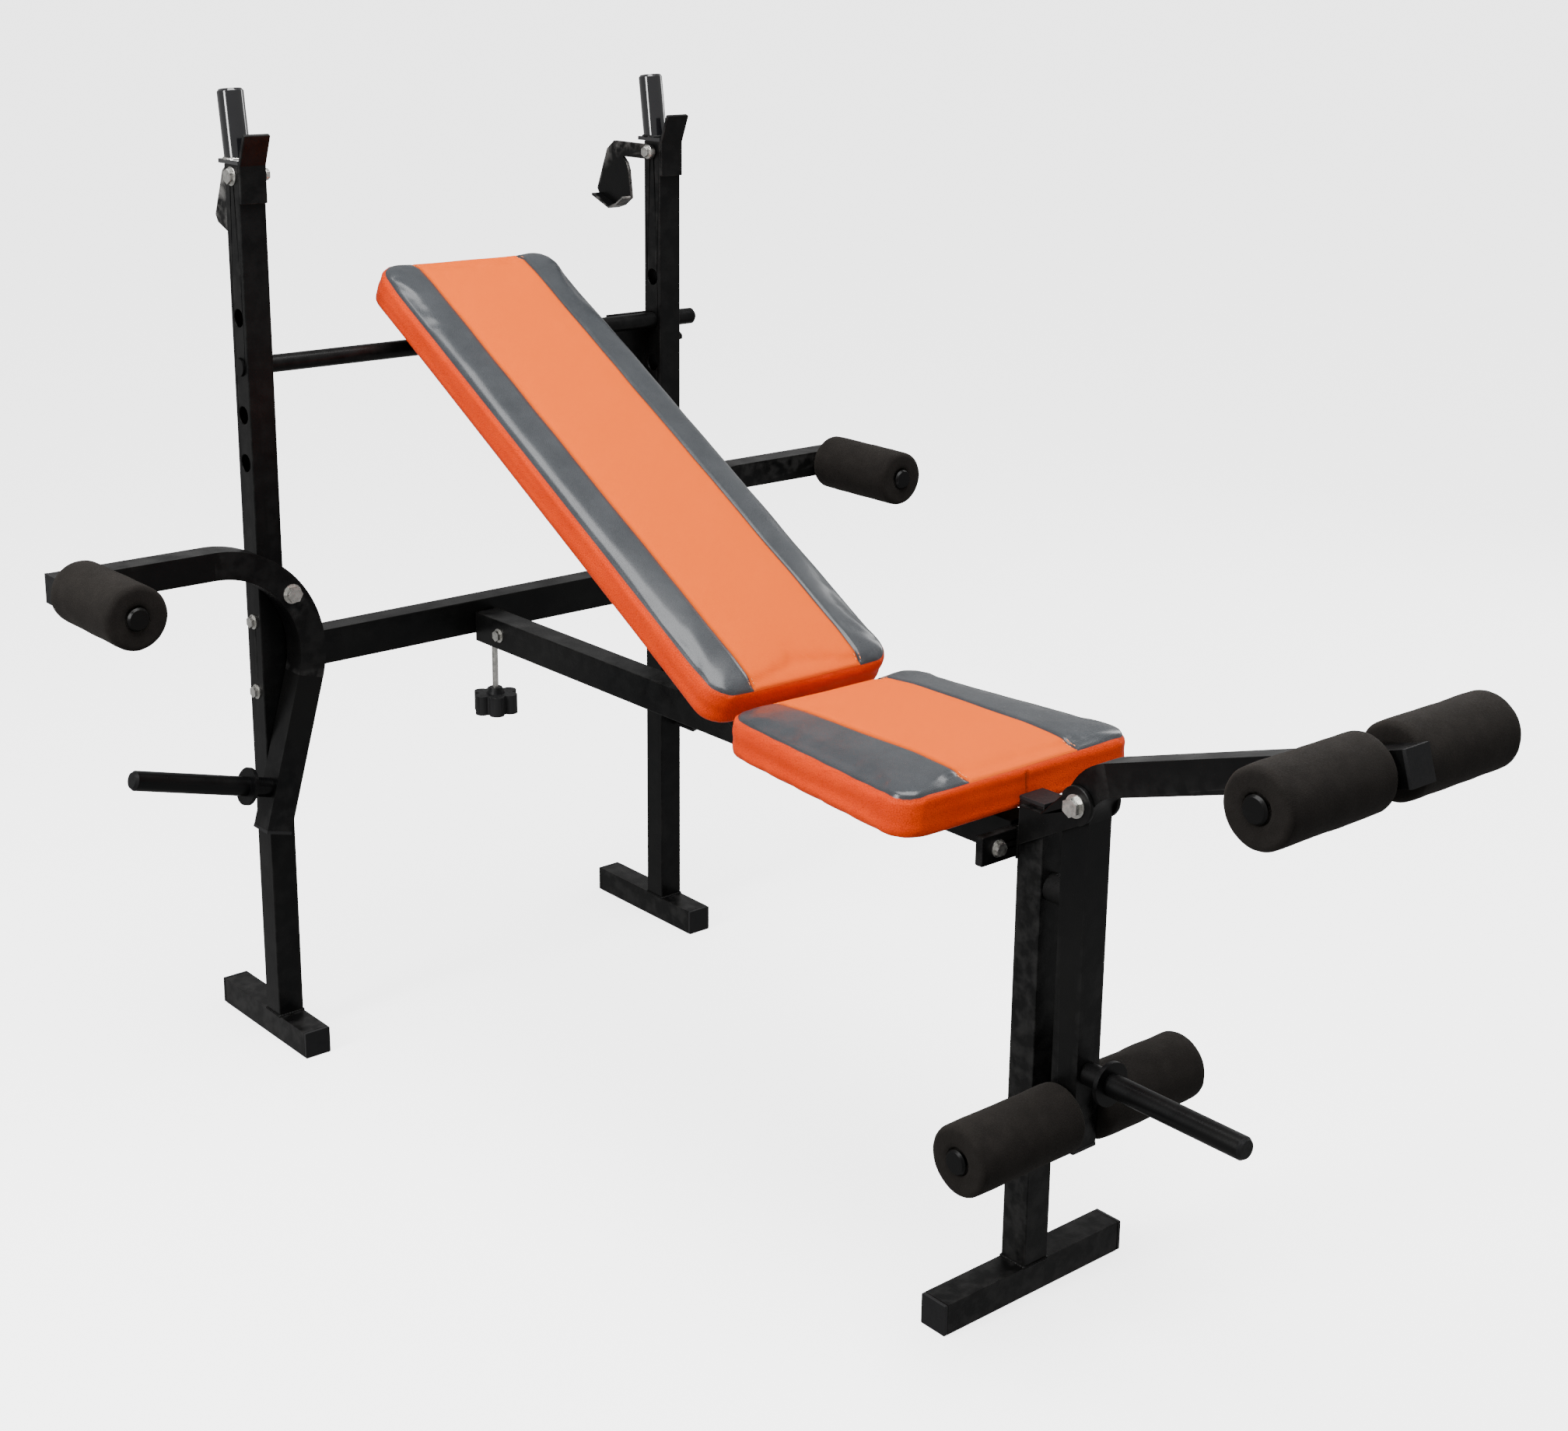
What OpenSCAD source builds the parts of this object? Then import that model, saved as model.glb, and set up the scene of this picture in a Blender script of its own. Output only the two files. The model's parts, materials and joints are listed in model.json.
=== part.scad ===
// Adjustable weight bench with rests for a bar, two swinging chest arms and a leg lever.
// Units are mm, +Z is up, +Y is the back of the bench, the leg lever is at the front (-Y).

/* [Tubes] */
// Outside width of the square frame tube
tube = 35; // [28:0.5:50]
// Wall thickness of the square frame tube
wall = 2; // [1.5:0.1:4]
// Height of the lower crossbar tube
crossbar_h = 45; // [35:1:60]
// Height of the main beam tube
beam_h = 40; // [35:1:60]
// Thickness of the flat plates
plate_t = 5; // [3:0.5:8]
// Height of the crown on a plastic tube cap
cap_t = 4; // [2:0.5:8]

/* [Rear frame] */
// Distance between the centre lines of the two uprights
upright_spacing = 632; // [520:1:820]
// Height of the top of the uprights above the floor
upright_top = 1140; // [950:1:1350]
// Length of each rear foot tube without its caps
rear_foot_len = 216; // [170:1:420]
// How far the middle of the rear foot lies behind the upright
rear_foot_back = 27; // [0:1:80]
// Height of the crossbar centre line above the floor
crossbar_z = 525; // [430:1:650]
// Height of the crossbar end plates
end_plate_h = 130; // [90:1:180]
// Distance from the crossbar centre line to each end plate bolt
end_bolt_z = 46; // [38:1:60]

/* [Bar rests] */
// Diameter of the round rest post
rest_d = 32; // [24:0.5:45]
// Height of the rest post above the upright
rest_h = 88; // [60:1:150]
// Angle by which the rest post leans back
rest_lean = 8; // [0:0.5:20]
// How far the rest post foot lies behind the upright centre
rest_back = 14; // [8:0.5:17]
// Height of the front lip plate above the upright
lip_h = 40; // [30:1:80]
// Angle by which the front lip leans forward
lip_lean = 22; // [5:0.5:40]
// Depth of the bar lock hook from its pivot to its back edge
hook_depth = 118; // [90:1:150]
// Height of the bar lock hook
hook_h = 92; // [70:1:120]
// Width of the strap of the bar lock hook
hook_strap = 20; // [14:0.5:30]
// Width of the folded rim of the bar lock hook
hook_rim = 14; // [8:0.5:22]
// Height of the gusset plate behind the right upright
gusset_h = 118; // [80:1:150]
// How far the gusset plate reaches inwards from the upright
gusset_in = 64; // [30:1:90]
// How far the flared tip of the gusset stands out of the upright
gusset_out = 32; // [15:1:50]

/* [Beam and front post] */
// Height of the main beam centre line above the floor
beam_z = 513; // [420:1:640]
// Distance from the uprights to the front post
post_y = 1048; // [850:1:1300]
// Height of the top of the front post tube above the floor
post_top = 560; // [480:1:700]
// Length of the front foot tube without its caps
front_foot_len = 264; // [200:1:480]
// Width of the bolted flange behind the front post
flange_w = 138; // [110:1:180]
// Height of the bolted flange
flange_h = 32; // [24:1:38]
// Distance from the post centre to each flange bolt
flange_bolt_x = 46; // [34:1:60]
// Length of the stub that carries the main beam
stub_len = 120; // [80:1:200]

/* [Seat] */
// Distance from the uprights to the back edge of the seat
seat_back_y = 698; // [560:1:900]
// Distance from the uprights to the front edge of the seat
seat_front_y = 1026; // [850:1:1250]
// Width of the seat at its back edge
seat_back_w = 284; // [220:1:340]
// Width of the seat at its front edge
seat_front_w = 352; // [260:1:400]
// Thickness of each cushion
pad_t = 44; // [30:1:70]
// Thickness of the wooden board under each cushion
board_t = 9; // [6:0.5:18]
// How far a board is set in from the edge of its cushion
board_inset = 12; // [6:1:30]
// Height of the brackets between the main beam and the seat board
bracket_h = 12; // [6:1:30]
// Corner radius of the cushions seen from above
pad_r = 34; // [15:1:60]

/* [Backrest] */
// Recline of the backrest above the horizontal, resting on the support bar
recline = 30; // [20:0.5:45]
// Length of the backrest cushion
back_len = 812; // [650:1:900]
// Width of the backrest cushion
back_w = 272; // [230:1:340]
// Distance from the uprights to the backrest hinge
hinge_y = 600; // [520:1:840]
// Height of the hinge above the top of the main beam
hinge_up = 45.64; // [30:0.5:60]
// Width of each rail tube under the backrest
rail_w = 25; // [18:0.5:35]
// Height of each rail tube under the backrest
rail_h = 30; // [20:0.5:40]
// Distance from the middle to the centre line of each rail
rail_x = 60; // [45:1:90]
// Length of each rail above the hinge
rail_len = 700; // [600:1:860]
// Diameter of the hinge pin
hinge_pin_d = 12; // [8:0.5:18]
// Diameter of the support bar
bar_d = 22; // [16:0.5:30]
// How far the support bar stands out of the right upright
bar_out = 36; // [20:1:60]
// How far the support bar stands out of the left upright
bar_in = 3; // [1:1:30]
// Distance between two height positions of the support bar
bar_pitch = 60; // [45:1:90]

/* [Chest arms] */
// Sideways distance from the upright centre line to the arm pivot
arm_pivot_in = 7; // [0:0.5:8]
// Height of the arm pivot above the floor
arm_pivot_z = 616; // [520:1:740]
// Radius of the big bend at the arm centre line
arm_bend_r = 128; // [90:1:170]
// Slant of the lower leg of the arm away from the vertical
arm_slant = 15.5; // [5:0.5:25]
// Length of the straight lower leg of the arm
arm_leg_len = 203; // [150:1:280]
// Distance from the middle of the bench to the outer end of the arm
arm_reach = 606; // [540:1:760]
// Gap between the upright and the arm
arm_gap = 5; // [3:0.5:12]
// Distance from the outer end of the arm to its foam roller axis
arm_rod_in = 22; // [20:1:60]
// Distance up the lower leg from its end to the weight post
arm_post_up = 52; // [35:1:90]
// Length of the weight post on the arm measured from the tube
arm_post_len = 186; // [120:1:240]

/* [Leg lever] */
// Distance from the front post to the lever pivot
lever_pivot_fwd = 64; // [58:1:90]
// Height of the lever pivot above the floor
lever_pivot_z = 577; // [480:1:700]
// Distance from the front post to the upright part of the lever
lever_fwd = 60.5; // [52:0.5:90]
// Height of the corner of the lever centre lines above the floor
lever_corner_z = 600; // [520:1:720]
// Radius of the lever bend at the centre line
lever_bend_r = 55; // [45:1:90]
// Angle by which the top arm of the lever rises
lever_rise = 17.5; // [5:0.5:30]
// Distance from the lever corner to the upper roller axis
lever_top_rod = 353; // [260:1:430]
// Length of the top arm beyond the upper roller axis
lever_top_tail = 42; // [30:1:70]
// Height of the lower roller axis above the floor
lever_low_rod_z = 233; // [160:1:320]
// Length of the lever below the lower roller axis
lever_low_tail = 34; // [25:1:60]
// Height of the lever weight post above the lower roller axis
lever_post_up = 50; // [45:1:110]
// Length of the lever weight post measured from the tube
lever_post_len = 203; // [140:1:260]
// Side gap between the lever and each ear of its bracket
lever_side_gap = 0.5; // [0.3:0.1:1.5]

/* [Rollers and weight posts] */
// Outside diameter of each foam roller
roller_d = 77; // [60:1:110]
// Length of each foam roller
roller_len = 150; // [110:1:200]
// Diameter of the steel rod inside a roller
rod_d = 16; // [12:0.5:25]
// Diameter of the plug at the end of a roller rod
plug_d = 27; // [20:0.5:40]
// Thickness of the plug at the end of a roller rod
plug_t = 3; // [2:0.5:6]
// Outside diameter of the weight posts
post_d = 25; // [20:0.5:30]
// Diameter of the round cap on a weight post
post_cap_d = 24.6; // [18:0.2:32]
// Diameter of the round flange that stops the weights
flange_d = 48; // [40:1:70]
// Distance from the tube to the flange that stops the weights
flange_out = 28; // [6:1:40]

/* [Hardware] */
// Shank diameter of the frame bolts
bolt_d = 8; // [6:0.5:12]
// Width across the corners of a frame bolt head
bolt_head_d = 15; // [11:0.5:20]
// Shank diameter of the pivot bolts
pivot_d = 12; // [8:0.5:16]
// Width across the corners of a pivot bolt head
pivot_head_d = 21; // [15:0.5:28]
// Radial clearance of a turning fit
run_fit = 0.05; // [0.02:0.01:0.1]
// Radial clearance of a bolt in a plain hole
hole_fit = 0.3; // [0.2:0.05:0.8]
// Diameter of the clamp knob
knob_d = 62; // [36:1:70]
// Height of the clamp knob
knob_h = 26; // [16:1:36]
// Distance from the main beam down to the clamp knob
knob_drop = 72; // [40:1:100]

/* [Hidden] */
$fn = 64;
eps = 0.01;
air = 0.3;
half = tube / 2;
up_x = upright_spacing / 2;
bolt_r = bolt_d / 2;
pivot_r = pivot_d / 2;
head_t = bolt_d * 0.65;
pivot_head_t = pivot_d * 0.65;
washer_t = 1.5;
hex = 6;
plug_depth = 14;
cap_over = 0.6;
bend_skin = 0.05;
bend_lap = 0.5;
beam_top = beam_z + beam_h / 2;
beam_bot = beam_z - beam_h / 2;
seat_bot = beam_top + bracket_h + board_t;
bracket_y = [seat_back_y + 60, seat_front_y - 90];
bracket_w = 30;
bracket_len = seat_back_w - 60;
bracket_web = 6;
hinge_z = beam_top + hinge_up;
rest_off = (rail_h + bar_d) / 2 / cos(recline);
bar_z = hinge_z + hinge_y * tan(recline) - rest_off;
bar_hole_r = bar_d / 2 + run_fit;
pad_off = rail_h / 2 + board_t;
pad_start = -65.3;
rail_tail = 50;
hole_count = 4;
hinge_pin_r = hinge_pin_d / 2;
ear_x = rail_x - rail_w / 2 - plate_t - air;
arm_y = -(half + arm_gap + half);
arm_half_angle = (90 - arm_slant) / 2;
arm_piv_x = up_x - arm_pivot_in;
arm_mid = arm_bend_r * (1 / sin(arm_half_angle) - 1);
arm_tan = arm_bend_r / tan(arm_half_angle);
arm_cx = arm_piv_x - arm_mid * cos(90 - arm_slant - arm_half_angle);
arm_cz = arm_pivot_z + arm_mid * sin(90 - arm_slant - arm_half_angle);
arm_sweep = 90 + arm_slant;
rod_r = rod_d / 2;
roller_r = roller_d / 2;
roller_gap = 2;
rod_end = rod_r * 0.6;
lever_w = tube - 2 * lever_side_gap;
lever_y = -(post_y + lever_fwd);
lever_piv_y = -(post_y + lever_pivot_fwd);
lever_half_angle = (90 + lever_rise) / 2;
lever_tan = lever_bend_r / tan(lever_half_angle);
lever_sweep = 90 - lever_rise;
lever_top_len = lever_top_rod + lever_top_tail;
lever_low_z = lever_low_rod_z - lever_low_tail;
roller_x0 = half + roller_gap;
post_r = post_d / 2;
ear_r = 21;
ear_low = post_top - 48;
ear_down = 4;
ear_back = 5;
ear_root = 0.97 * ear_r;
pad_wrap = board_t;
pad_fit = 0.5;
arm_plug = arm_rod_in - rod_d / 2 - hole_fit;
bumper_gap = 0.2;
bumper_z = 470;
bumper_h = 30;
hook_t = plate_t;
hook_piv_z = upright_top - hook_strap / 2 - 4;
hook_x = up_x - half - washer_t - air;
hook_piv_r = 5;
lip_x = tube;
flange_t = plate_t;
flange_y = post_y - half;
knob_y = half + 22;
knob_top = beam_bot - knob_drop;
screw_r = 4;
cap_half = half + cap_over / 2;
y_front = -lever_y + cos(lever_rise) * (lever_top_len + cap_t) + sin(lever_rise) * cap_half;
y_back = rear_foot_back + rear_foot_len / 2 + cap_t;
y_off = (y_front - y_back) / 2;

black = [0.06, 0.06, 0.065];
zinc = [0.78, 0.78, 0.74];
plastic = [0.04, 0.04, 0.045];
foam = [0.12, 0.11, 0.105];
vinyl = [0.93, 0.42, 0.14];
wood = [0.55, 0.42, 0.28];
rubber = [0.05, 0.05, 0.05];

module place() {
  translate([0, y_off, 0]) children();
}

module right_side() {
  mirror([1, 0, 0]) children();
}

// A hollow rectangular tube along Z from 0 to len, centred on the axis.
module tube_z(len, w, d) {
  difference() {
    translate([-w / 2, -d / 2, 0]) cube([w, d, len]);
    translate([-w / 2 + wall, -d / 2 + wall, -1])
      cube([w - 2 * wall, d - 2 * wall, len + 2]);
  }
}

// A hollow tube along -Y starting at y = 0; w is across X and h is the height.
module tube_fwd(len, w, h) {
  rotate([90, 0, 0]) tube_z(len, w, h);
}

// A hollow tube along +X starting at x = 0; d is along Y and h is the height.
module tube_side(len, d, h) {
  rotate([0, 90, 0]) tube_z(len, h, d);
}

// A tube cap with its crown on z = 0 to cap_t and its plug below.
module cap_z(w, d, plug = plug_depth) {
  grip = 2 * wall + 2 * air;
  translate([-w / 2 - cap_over / 2, -d / 2 - cap_over / 2, 0])
    cube([w + cap_over, d + cap_over, cap_t]);
  translate([-(w - grip) / 2, -(d - grip) / 2, -plug])
    cube([w - grip, d - grip, plug + 1]);
}

// A hex bolt head on z = 0 growing to +Z with its washer under it.
module head_z(r_head, t_head) {
  cylinder(r = r_head + 2, h = washer_t);
  translate([0, 0, washer_t - eps]) cylinder(r = r_head, h = t_head + eps, $fn = hex);
}

// A bolt with its shank through z = -len to 0, a head on top and a nut below.
module bolt_z(len, r, r_head, t_head) {
  head_z(r_head, t_head);
  translate([0, 0, -len - t_head - 2]) cylinder(r = r, h = len + t_head + 2 + eps);
  translate([0, 0, -len]) mirror([0, 0, 1]) head_z(r_head, t_head);
}

module hole_z(r, len) {
  translate([0, 0, -len / 2]) cylinder(r = r, h = len);
}

module hole_x(r, len) {
  rotate([0, 90, 0]) hole_z(r, len);
}

module hole_y(r, len) {
  rotate([90, 0, 0]) hole_z(r, len);
}

// The left upright stands on its foot and carries every hole it needs.
module upright_shape() {
  difference() {
    translate([-up_x, 0, tube]) tube_z(upright_top - tube, tube, tube);
    for (s = [-1, 1])
      translate([-up_x, 0, crossbar_z + s * end_bolt_z])
        hole_x(bolt_r + hole_fit, tube + 2);
    translate([-arm_piv_x, 0, arm_pivot_z]) hole_y(pivot_r + hole_fit, tube + 2);
    for (k = [0 : hole_count - 1])
      translate([-up_x, 0, bar_z - (k - 1) * bar_pitch]) hole_x(bar_hole_r, tube + 2);
    translate([-up_x, 0, hook_piv_z]) hole_x(hook_piv_r + hole_fit, tube + 2);
  }
}

module upright_left() color(black) place() upright_shape();

module upright_right() color(black) place() right_side() upright_shape();

module rear_foot_shape() {
  translate([-up_x, rear_foot_back + rear_foot_len / 2, half])
    tube_fwd(rear_foot_len, tube, tube);
}

module rear_foot_left() color(black) place() rear_foot_shape();

module rear_foot_right() color(black) place() right_side() rear_foot_shape();

module rear_foot_caps() color(plastic) place()
  for (s = [-1, 1]) {
    translate([s * up_x, rear_foot_back - rear_foot_len / 2, half])
      rotate([90, 0, 0]) cap_z(tube, tube - cap_over);
    translate([s * up_x, rear_foot_back + rear_foot_len / 2, half])
      rotate([-90, 0, 0]) cap_z(tube, tube - cap_over);
  }

// Each rest post stands on a plate that closes the top of its upright.
module rest_post() {
  base_w = tube;
  translate([-base_w / 2, -half, 0]) cube([base_w, tube + rest_back, plate_t]);
  difference() {
    translate([0, rest_back, 0]) rotate([-rest_lean, 0, 0]) union() {
      translate([0, 0, -rest_d / 2]) cylinder(d = rest_d, h = rest_h + rest_d / 2 - 3);
      translate([0, 0, rest_h - 3 - eps]) cylinder(d1 = rest_d, d2 = rest_d - 5, h = 3 + eps);
    }
    translate([-rest_d, -rest_d, -2 * rest_d + eps]) cube([2 * rest_d, 4 * rest_d, 2 * rest_d]);
  }
}

module rest_posts() color(black) place()
  for (s = [-1, 1]) translate([s * up_x, 0, upright_top]) rest_post();

// Each lip is a strap on the front of the upright, flared forward above it.
module cradle_lip() {
  strap = 46;
  miter = plate_t * tan(lip_lean / 2);
  tip = [-half - lip_h * sin(lip_lean), lip_h * cos(lip_lean)];
  outer = tip + plate_t * [-cos(lip_lean), -sin(lip_lean)];
  translate([-lip_x / 2, 0, 0]) rotate([90, 0, 90]) linear_extrude(height = lip_x)
    polygon([[-half, -strap], [-half, 0], tip, outer, [-half - plate_t, -miter],
      [-half - plate_t, -strap]]);
}

module cradle_lips() color(black) place()
  for (s = [-1, 1]) translate([s * up_x, 0, upright_top]) cradle_lip();

module crossbar() color(black) place() {
  inner = upright_spacing - tube - 2 * plate_t;
  translate([-inner / 2, 0, crossbar_z]) tube_side(inner, tube, crossbar_h);
  for (s = [-1, 1])
    difference() {
      translate([s * (inner + plate_t) / 2 - plate_t / 2, -half, crossbar_z - end_plate_h / 2])
        cube([plate_t, tube, end_plate_h]);
      for (k = [-1, 1])
        translate([s * inner / 2, 0, crossbar_z + k * end_bolt_z])
          hole_x(bolt_r + hole_fit, 4 * plate_t);
    }
}

module crossbar_bolts() color(zinc) place()
  for (s = [-1, 1])
    for (k = [-1, 1])
      translate([s * (up_x + half), 0, crossbar_z + k * end_bolt_z])
        rotate([0, s * 90, 0])
          bolt_z(tube + plate_t, bolt_r, bolt_head_d / 2, head_t);

// The stub is welded to the crossbar and the main beam slides over it.
module beam_stub() color(black) place() {
  w = tube - 2 * wall - 2 * air;
  h = beam_h - 2 * wall - 2 * air;
  difference() {
    translate([0, -half, beam_z]) tube_fwd(stub_len, w, h);
    translate([0, -half - stub_len * 0.5, beam_z]) hole_x(bolt_r + hole_fit, tube + 2);
  }
}

module main_beam() color(black) place()
  difference() {
    translate([0, -half - 3, beam_z])
      tube_fwd(post_y - tube - 3 - 2 * flange_t, tube, beam_h);
    translate([0, -half - stub_len * 0.5, beam_z]) hole_x(bolt_r + hole_fit, tube + 2);
    translate([0, -knob_y, beam_bot]) hole_z(screw_r + run_fit, 4 * wall);
  }

module beam_bolt() color(zinc) place()
  translate([-half, -half - stub_len * 0.5, beam_z]) rotate([0, -90, 0])
    bolt_z(tube, bolt_r, bolt_head_d / 2, head_t);

module front_post() color(black) place()
  translate([0, -post_y, tube]) tube_z(post_top - tube, tube, tube);

module front_post_cap() color(plastic) place()
  translate([0, -post_y, post_top]) cap_z(tube - cap_over, tube);

module front_foot() color(black) place()
  translate([-front_foot_len / 2, -post_y, half]) tube_side(front_foot_len, tube, tube);

module front_foot_caps() color(plastic) place()
  for (s = [-1, 1])
    translate([s * front_foot_len / 2, -post_y, half])
      rotate([0, s * 90, 0]) cap_z(tube - cap_over, tube);

// Two flanges face to face: one on the beam and one on the front post.
module post_flanges() color(black) place()
  for (k = [0, 1])
    difference() {
      translate([-flange_w / 2, -flange_y + k * flange_t, beam_z - flange_h / 2])
        cube([flange_w, flange_t - eps * k, flange_h]);
      for (s = [-1, 1])
        translate([s * flange_bolt_x, -flange_y, beam_z]) hole_y(bolt_r + hole_fit, 6 * flange_t);
    }

module flange_bolts() color(zinc) place()
  for (s = [-1, 1])
    translate([s * flange_bolt_x, -flange_y, beam_z]) rotate([90, 0, 0])
      bolt_z(2 * flange_t, bolt_r, bolt_head_d / 2, head_t);

// Two ears welded to the sides of the front post hold the lever between them.
module lever_ear() {
  back = -post_y + half - ear_back;
  top = post_top - ear_down;
  difference() {
    union() {
      rotate([90, 0, 90]) linear_extrude(height = plate_t)
        polygon([[back, ear_low], [back, top], [-post_y - half, top],
          [lever_piv_y + 0.30 * ear_root, lever_pivot_z + 0.95 * ear_root],
          [lever_piv_y - 0.62 * ear_root, lever_pivot_z - 0.78 * ear_root]]);
      translate([0, lever_piv_y, lever_pivot_z]) rotate([0, 90, 0])
        cylinder(r = ear_r, h = plate_t);
    }
    translate([0, lever_piv_y, lever_pivot_z]) hole_x(pivot_r + run_fit, 4 * plate_t);
  }
}

module lever_ears() color(black) place() {
  translate([half, 0, 0]) lever_ear();
  translate([-half - plate_t, 0, 0]) lever_ear();
}

module lever_pivot_bolt() color(zinc) place()
  translate([-half - plate_t, lever_piv_y, lever_pivot_z]) rotate([0, -90, 0])
    bolt_z(tube + 2 * plate_t, pivot_r, pivot_head_d / 2, pivot_head_t);

module lever_bumper() color(rubber) place()
  translate([0, -post_y - half, bumper_z]) rotate([90, 0, 0])
    cylinder(d = bumper_h, h = lever_fwd - tube - bumper_gap);

module arm_pivot_bolts() color(zinc) place()
  for (s = [-1, 1])
    translate([s * arm_piv_x, arm_y - half - bend_skin - eps, arm_pivot_z]) rotate([90, 0, 0])
      bolt_z(2 * tube + arm_gap + bend_skin + eps, pivot_r, pivot_head_d / 2, pivot_head_t);

module arm_bushings() color(plastic) place()
  for (s = [-1, 1])
    difference() {
      translate([s * arm_piv_x, -half, arm_pivot_z]) rotate([90, 0, 0])
        cylinder(r = half - 3, h = arm_gap - air);
      translate([s * arm_piv_x, -half, arm_pivot_z]) hole_y(pivot_r + run_fit, 4 * arm_gap);
    }

module hook_pivots() color(zinc) place()
  for (s = [-1, 1]) {
    translate([s * (up_x + half), 0, hook_piv_z]) rotate([0, s * 90, 0])
      head_z(hook_piv_r * 1.9, head_t);
    translate([s * up_x, 0, hook_piv_z]) rotate([0, -s * 90, 0])
      translate([0, 0, -half - eps])
        cylinder(r = hook_piv_r, h = tube + 2 * washer_t + hook_t + 2 * air);
    translate([s * up_x, 0, hook_piv_z]) rotate([0, -s * 90, 0])
      translate([0, 0, half + washer_t + hook_t + 2 * air])
        head_z(hook_piv_r * 1.5, head_t);
  }

// Outline of the hook as [back, up] from its pivot: a strap and a wide plate.
hook_top = hook_strap / 2;
hook_low = hook_top - hook_h;
hook_front = hook_depth * 0.34;
hook_pts = [[0, hook_top], [hook_depth * 0.66, hook_top], [hook_depth * 0.8, hook_top - 12],
  [hook_depth, hook_low + 24], [hook_depth * 0.95, hook_low + 15], [hook_depth * 0.62, hook_low],
  [hook_depth * 0.48, hook_low + 5], [hook_front, hook_low + 16], [hook_front + 5, -28],
  [hook_depth * 0.42, -18], [hook_depth * 0.5, -hook_top], [0, -hook_top]];

// The hook is a bent plate: a flat side with a folded rim along its lower edges.
module hook_shape() {
  fold = [[hook_depth * 0.95, hook_low + 15], [hook_depth * 0.62, hook_low],
    [hook_depth * 0.48, hook_low + 5], [hook_front, hook_low + 16]];
  rotate([90, 0, 90]) difference() {
    union() {
      translate([0, 0, -hook_t]) linear_extrude(height = hook_t) polygon(hook_pts);
      translate([0, 0, -hook_t]) cylinder(d = hook_strap, h = hook_t);
      linear_extrude(height = hook_rim)
        polygon(concat(fold, [for (i = [len(fold) - 1 : -1 : 0]) fold[i] + [0, 3]]));
    }
    hole_z(hook_piv_r + run_fit, 4 * hook_t);
  }
}

module hook_left() color(black) place()
  translate([-hook_x + hook_t, 0, hook_piv_z]) hook_shape();

module hook_right() color(black) place()
  right_side() translate([-hook_x + hook_t, 0, hook_piv_z]) hook_shape();

// A gusset plate behind the right upright with a flared tip under the bar.
module bar_gusset() color(black) place()
  translate([up_x, half + plate_t, bar_z]) rotate([90, 0, 0])
    linear_extrude(height = plate_t)
      polygon([[-half - gusset_in, 10], [half, 10], [half, -4], [half + gusset_out * 0.4, -8],
        [half + gusset_out, -30], [half + gusset_out, -35], [half, -40], [half, 10 - gusset_h],
        [-half, 10 - gusset_h], [-half - gusset_in, -56]]);

module seat_brackets() color(black) place()
  for (y = bracket_y)
    translate([-bracket_len / 2, -y - bracket_w / 2, beam_top])
      difference() {
        cube([bracket_len, bracket_w, bracket_h]);
        for (x = [-1, bracket_len / 2 + half + bracket_web])
          translate([x, wall, -1])
            cube([bracket_len / 2 - half - bracket_web + 1, bracket_w - 2 * wall, bracket_h + 1 - wall]);
      }

// The seat outline, wider at the front, with round corners.
module seat_outline(inset) {
  offset(r = pad_r - inset) offset(delta = -pad_r)
    polygon([[-seat_back_w / 2, -seat_back_y], [-seat_front_w / 2, -seat_front_y],
      [seat_front_w / 2, -seat_front_y], [seat_back_w / 2, -seat_back_y]]);
}

module seat_board() color(wood) place()
  translate([0, 0, seat_bot - board_t]) linear_extrude(height = board_t - air)
    seat_outline(board_inset);

// The cushion wraps down round the edge of its board.
module seat_pad() color(vinyl) place()
  difference() {
    translate([0, 0, seat_bot - pad_wrap]) linear_extrude(height = pad_t + pad_wrap)
      seat_outline(0);
    translate([0, 0, seat_bot - 2 * pad_wrap]) linear_extrude(height = 2 * pad_wrap)
      seat_outline(board_inset - pad_fit);
  }

// A U shaped bracket on the beam with an ear beside each rail.
module hinge_bracket() color(black) place() {
  ear_r = hinge_pin_r + 7;
  base_w = 2 * (ear_x + plate_t);
  translate([-base_w / 2, -hinge_y - ear_r, beam_top]) cube([base_w, 2 * ear_r, 3]);
  for (s = [-1, 1])
    difference() {
      union() {
        translate([s * (ear_x + plate_t / 2) - plate_t / 2, -hinge_y - ear_r, beam_top])
          cube([plate_t, 2 * ear_r, hinge_up]);
        translate([s * (ear_x + plate_t / 2) - plate_t / 2, -hinge_y, hinge_z])
          rotate([0, 90, 0]) cylinder(r = ear_r, h = plate_t);
      }
      translate([s * ear_x, -hinge_y, hinge_z]) hole_x(hinge_pin_r + run_fit, 6 * plate_t);
    }
}

module hinge_pin() color(zinc) place() {
  len = 2 * (rail_x + rail_w / 2) + 2;
  translate([len / 2, -hinge_y, hinge_z]) rotate([0, 90, 0])
    bolt_z(len, hinge_pin_r, hinge_pin_r * 1.6, head_t);
}

// Everything on the backrest is drawn in the hinge frame: local +Y runs up it.
module on_backrest() {
  place() translate([0, -hinge_y, hinge_z]) rotate([recline, 0, 0]) children();
}

module back_rails() color(black) {
  on_backrest()
    for (s = [-1, 1])
      difference() {
        translate([s * rail_x, rail_len, 0]) tube_fwd(rail_len + rail_tail, rail_w, rail_h);
        translate([s * rail_x, 0, 0]) hole_x(hinge_pin_r + run_fit, 2 * rail_w);
      }
  on_backrest()
    translate([-rail_x + rail_w / 2, rail_len - 60, -rail_h / 4])
      cube([2 * rail_x - rail_w, 20, rail_h / 2]);
}

module back_outline(inset) {
  offset(r = pad_r - inset) offset(delta = -pad_r)
    translate([-back_w / 2, pad_start]) square([back_w, back_len]);
}

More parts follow.
